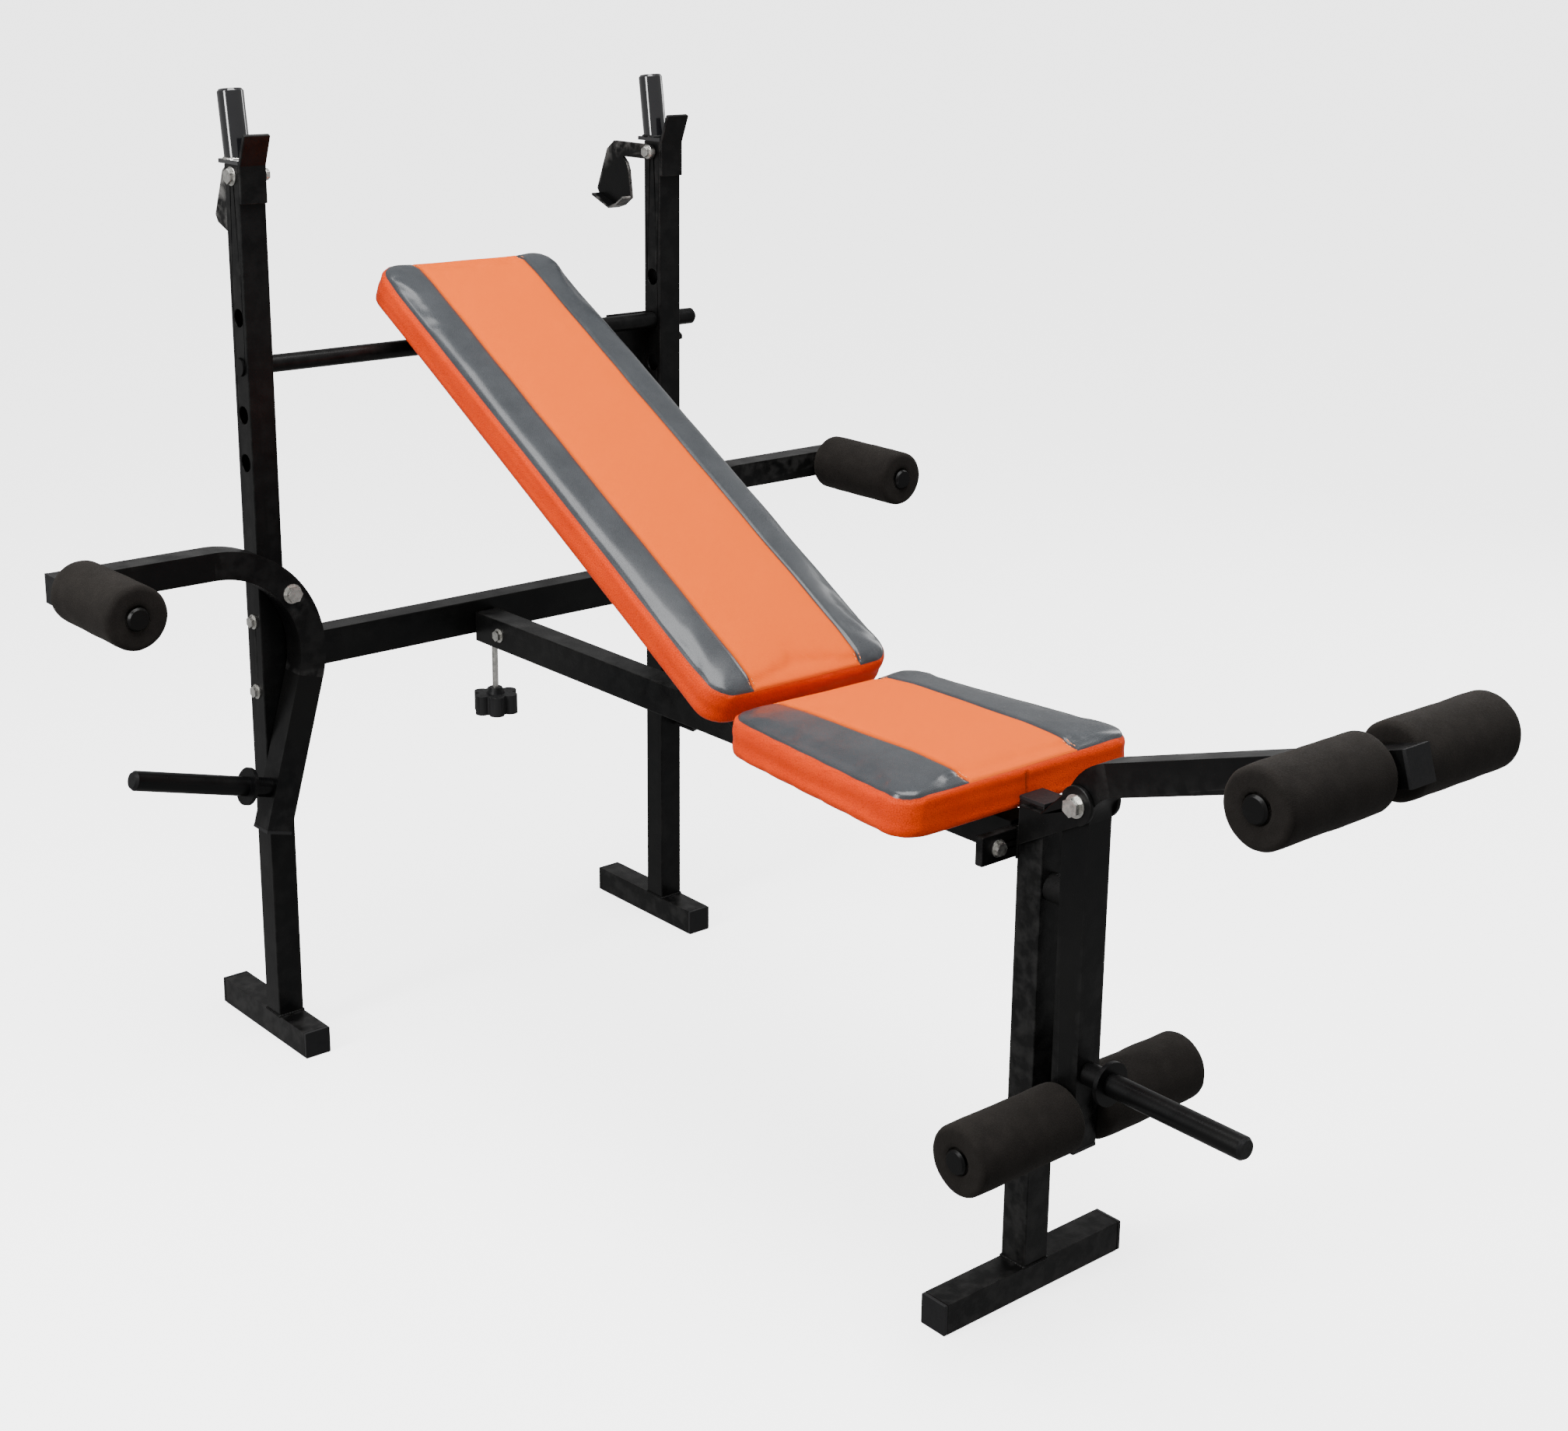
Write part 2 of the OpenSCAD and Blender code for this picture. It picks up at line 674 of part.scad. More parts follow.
module back_board() color(wood) on_backrest()
  translate([0, 0, rail_h / 2 + air]) linear_extrude(height = board_t - 2 * air)
    back_outline(board_inset);

module back_pad() color(vinyl) on_backrest()
  difference() {
    translate([0, 0, pad_off - pad_wrap]) linear_extrude(height = pad_t + pad_wrap)
      back_outline(0);
    translate([0, 0, pad_off - 2 * pad_wrap]) linear_extrude(height = 2 * pad_wrap)
      back_outline(board_inset - pad_fit);
  }

// The bar slides out to the right and fits any pair of holes.
module support_bar() color(black) place() {
  end_r = 4;
  translate([-up_x - half - bar_in, 0, bar_z]) rotate([0, 90, 0]) union() {
    cylinder(d = bar_d, h = upright_spacing + tube + bar_in + bar_out - end_r);
    translate([0, 0, upright_spacing + tube + bar_in + bar_out - end_r - eps])
      cylinder(d1 = bar_d, d2 = bar_d - 2 * end_r, h = end_r);
  }
}

// A tube bend: the walls are thicker by bend_skin so each straight run enters it cleanly.
module bend(r, sweep, w, d) {
  void_w = w - 2 * wall - 2 * bend_skin;
  void_d = d - 2 * wall - 2 * bend_skin;
  rotate_extrude(angle = sweep, $fn = 96)
    difference() {
      translate([r - w / 2 - bend_skin, -d / 2 - bend_skin])
        square([w + 2 * bend_skin, d + 2 * bend_skin]);
      translate([r - void_w / 2, -void_d / 2]) square([void_w, void_d]);
    }
}

// The left arm: a straight run outwards, the big bend and a slanted leg.
module arm_shape() {
  bend_x = arm_cx + arm_tan;
  out_len = arm_reach - bend_x;
  difference() {
    union() {
      translate([-bend_x + bend_lap, arm_y, arm_cz]) rotate([0, -90, 0])
        tube_z(out_len + bend_lap, tube, tube);
      translate([-bend_x, arm_y, arm_cz - arm_bend_r]) rotate([90, -90, 180])
        bend(arm_bend_r, arm_sweep, tube, tube);
      arm_leg_frame() tube_z(arm_leg_len + bend_lap, tube, tube);
    }
    translate([-arm_piv_x, arm_y, arm_pivot_z]) hole_y(pivot_r + run_fit, 2 * tube);
    translate([-arm_reach + arm_rod_in, arm_y, arm_cz]) hole_y(rod_r + hole_fit, 2 * tube);
  }
}

// Frame at the lower end of the slanted leg with +Z running up the leg.
module arm_leg_frame() {
  top_x = arm_cx + sin(arm_slant) * arm_tan;
  top_z = arm_cz - cos(arm_slant) * arm_tan;
  translate([-top_x, arm_y, top_z]) rotate([0, arm_slant, 0])
    translate([0, 0, -arm_leg_len]) children();
}

module arm_rod_shape() {
  len = tube + roller_len + 2 * roller_gap;
  translate([-arm_reach + arm_rod_in, arm_y + half + 3, arm_cz]) rotate([90, 0, 0]) {
    cylinder(r = rod_r, h = len + 3);
    translate([0, 0, len + 3 - eps]) cylinder(d1 = plug_d, d2 = plug_d - 4, h = plug_t);
  }
}

// A weight post: spigot, stop flange and the tube that takes the plates, along +Z.
module weight_post(len) {
  difference() {
    cylinder(r = post_r, h = len);
    translate([0, 0, len - 2 * plug_depth]) cylinder(r = post_r - wall, h = 3 * plug_depth);
  }
  translate([0, 0, flange_out]) cylinder(d = flange_d, h = plate_t);
}

module post_cap(len) {
  translate([0, 0, len]) cylinder(d1 = post_cap_d, d2 = post_cap_d - 5, h = cap_t);
  translate([0, 0, len - plug_depth]) cylinder(r = post_r - wall - air, h = plug_depth + 1);
}

module arm_post_frame() {
  arm_leg_frame() translate([-half, 0, arm_post_up]) rotate([0, -90, 0]) children();
}

module arm_caps_shape() {
  translate([-arm_reach, arm_y, arm_cz]) rotate([0, -90, 0]) cap_z(tube, tube, arm_plug);
  arm_leg_frame() mirror([0, 0, 1]) cap_z(tube, tube);
  arm_post_frame() post_cap(arm_post_len);
}

// A foam roller along +Z with a through hole for its rod.
module roller_z() {
  difference() {
    cylinder(r = roller_r, h = roller_len);
    translate([0, 0, -1]) cylinder(r = rod_r + run_fit, h = roller_len + 2);
  }
}

module arm_roller_shape() {
  translate([-arm_reach + arm_rod_in, arm_y - half - roller_gap, arm_cz])
    rotate([90, 0, 0]) roller_z();
}

module arm_left() color(black) place() arm_shape();

module arm_left_rod() color(zinc) place() arm_rod_shape();

module arm_left_post() color(black) place() arm_post_frame() weight_post(arm_post_len);

module arm_left_caps() color(plastic) place() arm_caps_shape();

module roller_arm_left() color(foam) place() arm_roller_shape();

module arm_right() color(black) place() right_side() arm_shape();

module arm_right_rod() color(zinc) place() right_side() arm_rod_shape();

module arm_right_post() color(black) place() right_side()
  arm_post_frame() weight_post(arm_post_len);

module arm_right_caps() color(plastic) place() right_side() arm_caps_shape();

module roller_arm_right() color(foam) place() right_side() arm_roller_shape();

// Frame at the lever corner with +Z running out along the rising top arm.
module lever_top_frame() {
  translate([0, lever_y, lever_corner_z]) rotate([90 - lever_rise, 0, 0]) children();
}

module leg_lever() color(black) place()
  difference() {
    union() {
      translate([0, lever_y, lever_low_z])
        tube_z(lever_corner_z - lever_tan - lever_low_z + bend_lap, lever_w, tube);
      lever_top_frame() translate([0, 0, lever_tan - bend_lap])
        tube_z(lever_top_len - lever_tan + bend_lap, lever_w, tube);
      translate([0, lever_y - lever_bend_r, lever_corner_z - lever_tan])
        rotate([90, 0, 90]) bend(lever_bend_r, lever_sweep, tube, lever_w);
    }
    translate([0, lever_piv_y, lever_pivot_z]) hole_x(pivot_r + run_fit, 2 * tube);
    translate([0, lever_y, lever_low_rod_z]) hole_x(rod_r + hole_fit, 2 * tube);
    lever_top_frame() translate([0, 0, lever_top_rod]) hole_x(rod_r + hole_fit, 2 * tube);
  }

module rod_pair() {
  len = 2 * (roller_x0 + roller_len + 1);
  translate([-len / 2, 0, 0]) rotate([0, 90, 0]) cylinder(r = rod_r, h = len);
  for (s = [-1, 1])
    translate([s * len / 2, 0, 0]) rotate([0, s * 90, 0])
      cylinder(d1 = plug_d, d2 = plug_d - 4, h = plug_t);
}

module lever_rods() color(zinc) place() {
  translate([0, lever_y, lever_low_rod_z]) rod_pair();
  lever_top_frame() translate([0, 0, lever_top_rod]) rod_pair();
}

module lever_post_frame() {
  translate([0, lever_y - half, lever_low_rod_z + lever_post_up]) rotate([90, 0, 0])
    children();
}

module lever_post() color(black) place() lever_post_frame() weight_post(lever_post_len);

module lever_caps() color(plastic) place() {
  lever_top_frame() translate([0, 0, lever_top_len]) cap_z(lever_w, tube);
  translate([0, lever_y, lever_low_z]) mirror([0, 0, 1]) cap_z(lever_w, tube);
  lever_post_frame() post_cap(lever_post_len);
}

module roller_right() {
  translate([roller_x0, 0, 0]) rotate([0, 90, 0]) roller_z();
}

module roller_top_left() color(foam) place() lever_top_frame()
  translate([0, 0, lever_top_rod]) right_side() roller_right();

module roller_top_right() color(foam) place() lever_top_frame()
  translate([0, 0, lever_top_rod]) roller_right();

module roller_low_left() color(foam) place()
  translate([0, lever_y, lever_low_rod_z]) right_side() roller_right();

module roller_low_right() color(foam) place()
  translate([0, lever_y, lever_low_rod_z]) roller_right();

// The clamp screw presses the stub from below and the knob turns it.
module clamp_screw() color(zinc) place()
  translate([0, -knob_y, knob_top - 6]) cylinder(r = screw_r, h = knob_drop + 6 + wall);

module clamp_knob() color(plastic) place()
  translate([0, -knob_y, knob_top - knob_h]) difference() {
    union() {
      cylinder(d = knob_d * 0.72, h = knob_h);
      for (a = [0 : 60 : 300])
        rotate([0, 0, a]) translate([knob_d * 0.34, 0, 0]) cylinder(d = knob_d * 0.32, h = knob_h);
      translate([0, 0, knob_h - eps]) cylinder(d1 = knob_d * 0.4, d2 = knob_d * 0.28, h = 8);
    }
    translate([0, 0, knob_h - 6]) cylinder(r = screw_r, h = 20);
  }

upright_left();
upright_right();
rear_foot_left();
rear_foot_right();
rear_foot_caps();
rest_posts();
cradle_lips();
crossbar();
crossbar_bolts();
beam_stub();
main_beam();
beam_bolt();
front_post();
front_post_cap();
front_foot();
front_foot_caps();
post_flanges();
flange_bolts();
lever_ears();
lever_pivot_bolt();
lever_bumper();
arm_pivot_bolts();
arm_bushings();
hook_pivots();
bar_gusset();
seat_brackets();
seat_board();
seat_pad();
hinge_bracket();
hinge_pin();
back_rails();
back_board();
back_pad();
support_bar();
arm_left();
arm_left_rod();
arm_left_post();
arm_left_caps();
roller_arm_left();
arm_right();
arm_right_rod();
arm_right_post();
arm_right_caps();
roller_arm_right();
leg_lever();
lever_rods();
lever_post();
lever_caps();
roller_top_left();
roller_top_right();
roller_low_left();
roller_low_right();
hook_left();
hook_right();
clamp_knob();
clamp_screw();
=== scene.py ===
"""Adjustable weight bench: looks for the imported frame, in metres, +Z up, front towards -Y."""
import json
import math

import bpy
from mathutils import Matrix, Vector, noise
from mathutils.bvhtree import BVHTree


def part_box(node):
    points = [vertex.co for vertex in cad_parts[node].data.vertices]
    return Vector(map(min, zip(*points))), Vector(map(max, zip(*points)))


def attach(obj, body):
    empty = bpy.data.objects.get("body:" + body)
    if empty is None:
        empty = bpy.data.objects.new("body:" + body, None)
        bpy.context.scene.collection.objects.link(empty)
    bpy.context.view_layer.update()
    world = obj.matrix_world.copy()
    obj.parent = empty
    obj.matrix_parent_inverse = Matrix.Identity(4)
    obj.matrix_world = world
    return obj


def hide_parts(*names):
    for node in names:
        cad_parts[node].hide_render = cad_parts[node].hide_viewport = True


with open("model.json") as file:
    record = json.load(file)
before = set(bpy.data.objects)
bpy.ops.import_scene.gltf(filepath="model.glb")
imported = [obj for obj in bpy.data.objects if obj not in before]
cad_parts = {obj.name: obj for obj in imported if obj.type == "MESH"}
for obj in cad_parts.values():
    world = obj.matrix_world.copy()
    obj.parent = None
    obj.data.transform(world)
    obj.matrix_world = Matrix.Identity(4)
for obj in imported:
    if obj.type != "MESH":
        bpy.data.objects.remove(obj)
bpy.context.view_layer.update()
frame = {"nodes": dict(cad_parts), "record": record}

NODES = frame["nodes"]

# Places shared with the CAD model, in metres
Y_OFF = 0.677693            # from the uprights' plane to the middle of the model
UPRIGHT_X = 0.316
TUBE = 0.035
HALF = TUBE / 2
RECLINE = math.radians(30)
HINGE = Vector((0.0, Y_OFF - 0.600, 0.57864))
SEAT_LOW = 0.545
PAD_T = 0.053
PAD_R = 0.034
SEAT_BACK = (Y_OFF - 0.698, 0.142)      # y and half width
SEAT_FRONT = (Y_OFF - 1.026, 0.176)
BACK_LOCAL = (-0.0653, 0.7467, 0.136)   # start, end and half width in the hinge frame
BACK_LOW = 0.015
POCKET_IN = 0.0118          # the board sits in a pocket under the pad
POCKET_UP = 0.0093
POST_Y = Y_OFF - 1.048      # the front post
REST_FOOT = (Y_OFF + 0.0142, 1.1455)    # y and z where a rest post leaves its upright
CROSSBAR_Z = (0.5025, 0.5475)           # underside and top of the crossbar
FLANGE_Z = (0.495, 0.531)
END_PLATE_T = 0.005

# Upholstery
PANEL_HALF = 0.080          # half width of the orange centre panel
TOP_SEAM = 0.0055           # the top panel's seam, inside the outline
SEAM_EDGE = 0.0003          # half width of the change of colour at a seam
THREAD_PITCH = 0.0024       # of the woven centre panel
STRIPE_GLOSS = 0.9
GRAIN_SCALE = 420.0


# ---------------------------------------------------------------- shader helpers

class Paint:
    """Builds one material from nodes, around a Principled shader."""

    def __init__(self, name, **sockets):
        self.mat = bpy.data.materials.new(name)
        self.mat.use_nodes = True
        self.tree = self.mat.node_tree
        self.tree.nodes.clear()
        self.shader = self.node("ShaderNodeBsdfPrincipled")
        out = self.node("ShaderNodeOutputMaterial")
        self.link(self.shader.outputs[0], out.inputs[0])
        self.coord = self.node("ShaderNodeTexCoord").outputs["Object"]
        for key, value in sockets.items():
            self.shader.inputs[key.replace("_", " ")].default_value = value

    def node(self, kind, **props):
        made = self.tree.nodes.new(kind)
        for key, value in props.items():
            setattr(made, key, value)
        return made

    def link(self, a, b):
        self.tree.links.new(a, b)

    def feed(self, socket, value):
        if isinstance(value, bpy.types.NodeSocket):
            self.link(value, socket)
        else:
            socket.default_value = value

    def math(self, op, a, b=0.0, clamp=False):
        made = self.node("ShaderNodeMath", operation=op, use_clamp=clamp)
        self.feed(made.inputs[0], a)
        self.feed(made.inputs[1], b)
        return made.outputs[0]

    def stretched(self, x, y, z):
        made = self.node("ShaderNodeMapping")
        made.inputs["Scale"].default_value = (x, y, z)
        self.link(self.coord, made.inputs["Vector"])
        return made.outputs[0]

    def noise(self, scale, detail=3.0, rough=0.55, coord=None):
        made = self.node("ShaderNodeTexNoise")
        made.inputs["Scale"].default_value = scale
        made.inputs["Detail"].default_value = detail
        made.inputs["Roughness"].default_value = rough
        self.link(coord or self.coord, made.inputs["Vector"])
        return made.outputs["Fac"]

    def cells(self, scale, feature="F1", coord=None):
        made = self.node("ShaderNodeTexVoronoi", feature=feature)
        made.inputs["Scale"].default_value = scale
        self.link(coord or self.coord, made.inputs["Vector"])
        return made.outputs["Distance"]

    def between(self, value, low, high, to_low=0.0, to_high=1.0):
        made = self.node("ShaderNodeMapRange", clamp=True)
        self.link(value, made.inputs["Value"])
        for key, number in zip(("From Min", "From Max", "To Min", "To Max"),
                               (low, high, to_low, to_high)):
            made.inputs[key].default_value = number
        return made.outputs[0]

    def mix(self, factor, a, b):
        made = self.node("ShaderNodeMix", data_type="RGBA")
        self.feed(made.inputs[0], factor)
        for socket, colour in ((made.inputs[6], a), (made.inputs[7], b)):
            self.feed(socket, (*colour, 1.0) if isinstance(colour, tuple) else colour)
        return made.outputs[2]

    def bump(self, height, strength, distance, under=None):
        made = self.node("ShaderNodeBump")
        made.inputs["Strength"].default_value = strength
        made.inputs["Distance"].default_value = distance
        self.link(height, made.inputs["Height"])
        if under is not None:
            self.link(under, made.inputs["Normal"])
        return made.outputs[0]

    def edges(self, low, high):
        """1 on convex edges, 0 on flats: worn edges on the paint and plastic, a painted highlight
        on the upholstery.
        """
        geo = self.node("ShaderNodeNewGeometry")
        return self.between(geo.outputs["Pointiness"], low, high)

    def use(self, colour=None, roughness=None, normal=None, metallic=None):
        for key, value in (("Base Color", colour), ("Roughness", roughness),
                           ("Normal", normal), ("Metallic", metallic)):
            if value is not None:
                self.link(value, self.shader.inputs[key])
        return self.mat


# ---------------------------------------------------------------- materials

def frame_paint(name="frame_paint", gloss=(0.24, 0.40), rubbed=(0.040, 0.039, 0.038),
                wear=0.5):
    """Black powder coat with orange peel, faint dust and rubbed edges."""
    p = Paint(name, Specular_IOR_Level=0.15)
    cloud = p.noise(9.0, 4.0)
    base = p.mix(p.between(cloud, 0.35, 0.70), (0.0022, 0.0022, 0.0024), (0.0048, 0.0047, 0.0045))
    dust = p.between(p.noise(420.0, 2.0), 0.66, 0.80, 0.0, 0.35)
    base = p.mix(dust, base, (0.016, 0.0155, 0.015))
    worn = p.math("MULTIPLY", p.edges(0.52, 0.60), p.between(p.noise(55.0), 0.42, 0.62), True)
    base = p.mix(p.math("MULTIPLY", worn, wear), base, rubbed)
    rough = p.between(p.noise(26.0, 5.0), 0.30, 0.70, *gloss)
    peel = p.bump(p.noise(520.0, 2.0), 0.22, 0.0004)
    return p.use(base, rough, p.bump(p.noise(60.0, 2.0), 0.05, 0.001, peel))


def gloss_tube():
    """Glossy black enamel of the rest posts."""
    p = Paint("gloss_tube", Coat_Weight=1.0, Coat_Roughness=0.03)
    base = p.mix(p.noise(30.0), (0.004, 0.004, 0.005), (0.009, 0.009, 0.010))
    rough = p.between(p.noise(70.0, 5.0), 0.3, 0.7, 0.07, 0.16)
    return p.use(base, rough, p.bump(p.noise(160.0), 0.04, 0.0005))


def zinc(name="zinc", tint=(0.74, 0.73, 0.69)):
    """Zinc plated steel with fine turning marks and mottled passivation."""
    p = Paint(name, Metallic=1.0)
    dull = tuple(0.62 * c for c in tint)
    base = p.mix(p.between(p.noise(160.0, 4.0), 0.35, 0.72), tint, dull)
    rough = p.between(p.noise(300.0, 4.0), 0.3, 0.7, 0.22, 0.44)
    marks = p.bump(p.noise(900.0, 2.0, coord=p.stretched(0.25, 1.0, 1.0)), 0.25, 0.0003)
    return p.use(base, rough, marks)


def plastic():
    """Black moulded polyethylene with a fine spark-eroded grain."""
    p = Paint("cap_plastic", Specular_IOR_Level=0.22)
    base = p.mix(p.noise(80.0), (0.004, 0.004, 0.0045), (0.008, 0.008, 0.0085))
    lighter_edges = p.edges(0.52, 0.62)
    base = p.mix(p.math("MULTIPLY", lighter_edges, 0.4), base, (0.035, 0.035, 0.036))
    rough = p.between(p.noise(240.0), 0.3, 0.7, 0.38, 0.55)
    return p.use(base, rough, p.bump(p.cells(1400.0), 0.22, 0.0003))


def foam():
    """Closed-cell foam sleeve, brownish black, with pores."""
    p = Paint("foam", Sheen_Weight=0.04, Sheen_Roughness=0.6, Specular_IOR_Level=0.10)
    p.shader.inputs["Sheen Tint"].default_value = (0.75, 0.68, 0.62, 1.0)
    cloud = p.noise(40.0, 5.0, 0.65)
    base = p.mix(p.between(cloud, 0.3, 0.7), (0.0070, 0.0060, 0.0052), (0.0130, 0.0112, 0.0098))
    pores = p.cells(1100.0)
    # painted shade: the pores are darkened, as shade in their pits
    base = p.mix(p.between(pores, 0.0, 0.28, 0.75, 0.0), base, (0.0020, 0.0018, 0.0016))
    rough = p.between(p.noise(500.0), 0.3, 0.7, 0.78, 0.96)
    grain = p.bump(pores, 0.45, 0.0006)
    return p.use(base, rough, p.bump(p.noise(240.0, 4.0, 0.7), 0.35, 0.0008, grain))


def rubber():
    """Black rubber of the leg lever's stop."""
    p = Paint("bumper_rubber", Specular_IOR_Level=0.12)
    base = p.mix(p.noise(120.0), (0.0035, 0.0035, 0.0035), (0.0075, 0.0072, 0.0070))
    return p.use(base, p.between(p.noise(300.0), 0.3, 0.7, 0.62, 0.8),
                 p.bump(p.noise(700.0), 0.2, 0.0004))


def board():
    """Pressed fibre board under the pads, with chips and a sawn tone."""
    p = Paint("board", Specular_IOR_Level=0.2)
    chips = p.cells(220.0, coord=p.stretched(1.0, 0.35, 1.0))
    base = p.mix(p.between(chips, 0.05, 0.7), (0.300, 0.190, 0.100), (0.180, 0.105, 0.052))
    base = p.mix(p.between(p.noise(14.0, 5.0), 0.35, 0.75, 0.0, 0.6), base, (0.120, 0.070, 0.036))
    return p.use(base, p.between(p.noise(120.0), 0.3, 0.7, 0.7, 0.92),
                 p.bump(chips, 0.35, 0.0006))


def vinyl_grain(p):
    """Embossed leather-like grain: the pebbles as a mask, and the bump they make."""
    creases = p.cells(GRAIN_SCALE, "DISTANCE_TO_EDGE")
    pebbles = p.between(creases, 0.0, 0.14)
    fine = p.noise(GRAIN_SCALE * 2.2, 2.0)
    return pebbles, p.bump(fine, 0.12, 0.0002, p.bump(pebbles, 0.55, 0.0006))


def upholstery(which):
    """Orange vinyl sides, a textile centre panel and grey vinyl stripes; the panel's orange is
    partly painted light, lighter than the sides as the lit top.
    """
    p = Paint("upholstery_" + which, Specular_IOR_Level=0.06, Coat_Roughness=0.24)
    split = p.node("ShaderNodeSeparateXYZ")
    p.link(p.coord, split.inputs[0])
    across = p.math("ABSOLUTE", split.outputs[0])
    inset = p.node("ShaderNodeAttribute", attribute_name="top_inset").outputs["Fac"]
    top = p.between(inset, TOP_SEAM - SEAM_EDGE, TOP_SEAM + SEAM_EDGE)
    outer = p.between(across, PANEL_HALF - SEAM_EDGE, PANEL_HALF + SEAM_EDGE)
    stripe = p.math("MULTIPLY", top, outer)
    panel = p.math("SUBTRACT", top, stripe, True)

    cloud = p.noise(22.0, 4.0)
    # partly painted shade: the side vinyl is a darker orange than the lit top panel
    side = p.mix(p.between(cloud, 0.3, 0.7), (0.780, 0.046, 0.0006), (0.870, 0.060, 0.0010))
    pebbles, grain = vinyl_grain(p)
    # painted shade: the side vinyl is darkened in the creases between the grain's pebbles
    crease_shade = p.between(pebbles, 0.0, 0.8, 0.55, 0.0)
    side = p.mix(crease_shade, side, (0.520, 0.022, 0.0003))
    # woven textile: the ridges of warp and weft cross
    weave = p.math("MULTIPLY", wave(p, 0), wave(p, 1))
    fleck = p.between(p.noise(700.0, 3.0, 0.7), 0.35, 0.70)
    # the textile panel's own orange, partly painted light: lighter than the side vinyl, as the
    # top lit from above
    light = p.mix(fleck, (0.900, 0.115, 0.0010), (0.970, 0.155, 0.0020))
    # painted shade: the grooves between the threads are darkened
    light = p.mix(p.between(weave, 0.0, 0.5, 0.55, 0.0), light, (0.780, 0.070, 0.0008))
    grey = p.mix(p.between(cloud, 0.3, 0.7), (0.034, 0.038, 0.043), (0.050, 0.055, 0.061))
    # painted shade: the grey vinyl is darkened in the grain's creases too
    grey = p.mix(p.math("MULTIPLY", crease_shade, 0.8), grey, (0.020, 0.022, 0.025))
    colour = p.mix(stripe, p.mix(panel, side, light), grey)

    # painted shade darkens the sewn seams, and a painted highlight lightens the vinyl on its
    # convex edges
    seam = p.node("ShaderNodeAttribute", attribute_name="seam").outputs["Fac"]
    seam_shade = p.mix(stripe, (0.120, 0.026, 0.006), (0.014, 0.015, 0.016))
    colour = p.mix(p.math("MULTIPLY", seam, 0.55), colour, seam_shade)
    # painted highlight: the vinyl is lightened along its convex edges
    lighter_edges = p.math("MULTIPLY", p.edges(0.515, 0.56), 0.18)
    colour = p.mix(lighter_edges, colour, p.mix(stripe, (0.960, 0.120, 0.0050), (0.080, 0.086, 0.092)))

    smooth = p.between(p.noise(60.0, 4.0), 0.3, 0.7, 0.30, 0.42)
    matt = p.between(fleck, 0.0, 1.0, 0.60, 0.78)
    rough = p.math("ADD", p.math("MULTIPLY", panel, matt),
                   p.math("MULTIPLY", p.math("SUBTRACT", 1.0, panel), smooth))
    cloth = p.bump(weave, 0.65, 0.0005)
    mixed = p.node("ShaderNodeMix", data_type="VECTOR")
    p.link(panel, mixed.inputs[0])
    p.link(grain, mixed.inputs[4])
    p.link(cloth, mixed.inputs[5])
    p.link(p.math("MULTIPLY", stripe, STRIPE_GLOSS), p.shader.inputs["Coat Weight"])
    return p.use(colour, rough, mixed.outputs[1])


def wave(p, axis):
    """A triangle ridge along one axis, one per thread."""
    split = p.node("ShaderNodeSeparateXYZ")
    p.link(p.coord, split.inputs[0])
    turns = p.math("MULTIPLY", split.outputs[axis], math.tau / THREAD_PITCH)
    return p.math("ABSOLUTE", p.math("SINE", turns))


def thread():
    """Orange sewing thread with its twist."""
    p = Paint("thread", Sheen_Weight=0.3, Sheen_Roughness=0.4)
    base = p.mix(p.noise(900.0), (0.780, 0.210, 0.055), (0.900, 0.330, 0.120))
    twist = p.noise(2600.0, 1.0, coord=p.stretched(1.0, 0.4, 1.0))
    return p.use(base, p.between(twist, 0.3, 0.7, 0.5, 0.7), p.bump(twist, 0.4, 0.0002))


PAINTS = {
    "frame_paint": frame_paint(),
    "gloss_tube": gloss_tube(),
    "zinc": zinc(),
    "cap_plastic": plastic(),
    "foam": foam(),
    "bumper_rubber": rubber(),
    "board": board(),
    "weld": frame_paint("weld_paint", (0.34, 0.50)),
    "bar_hook": frame_paint("hook_paint", (0.20, 0.34), (0.46, 0.45, 0.43), 0.95),
    "bright": zinc("bright_edge", (0.82, 0.81, 0.78)),
    "thread": thread(),
}


# ---------------------------------------------------------------- mesh helpers

def piece(name, verts, faces, paint):
    """A new smooth-shaded object in one paint."""
    mesh = bpy.data.meshes.new(name)
    mesh.from_pydata([tuple(v) for v in verts], [], faces)
    mesh.validate()
    mesh.polygons.foreach_set("use_smooth", [True] * len(mesh.polygons))
    mesh.materials.append(paint)
    made = bpy.data.objects.new(name, mesh)
    bpy.context.scene.collection.objects.link(made)
    return made


def lathe(profile, steps):
    """Turns (radius, height) points round Z into a closed ring of faces."""
    verts, faces = [], []
    n = len(profile)
    for i in range(steps):
        a = math.tau * i / steps
        verts += [Vector((r * math.cos(a), r * math.sin(a), z)) for r, z in profile]
    for i in range(steps):
        a, b = i * n, (i + 1) % steps * n
        for k in range(n):
            m = (k + 1) % n
            faces.append((a + k, b + k, b + m, a + m))
    return verts, faces


NOT_UPRIGHT = 0.9            # cosine to Z below which a tube's ring is set level


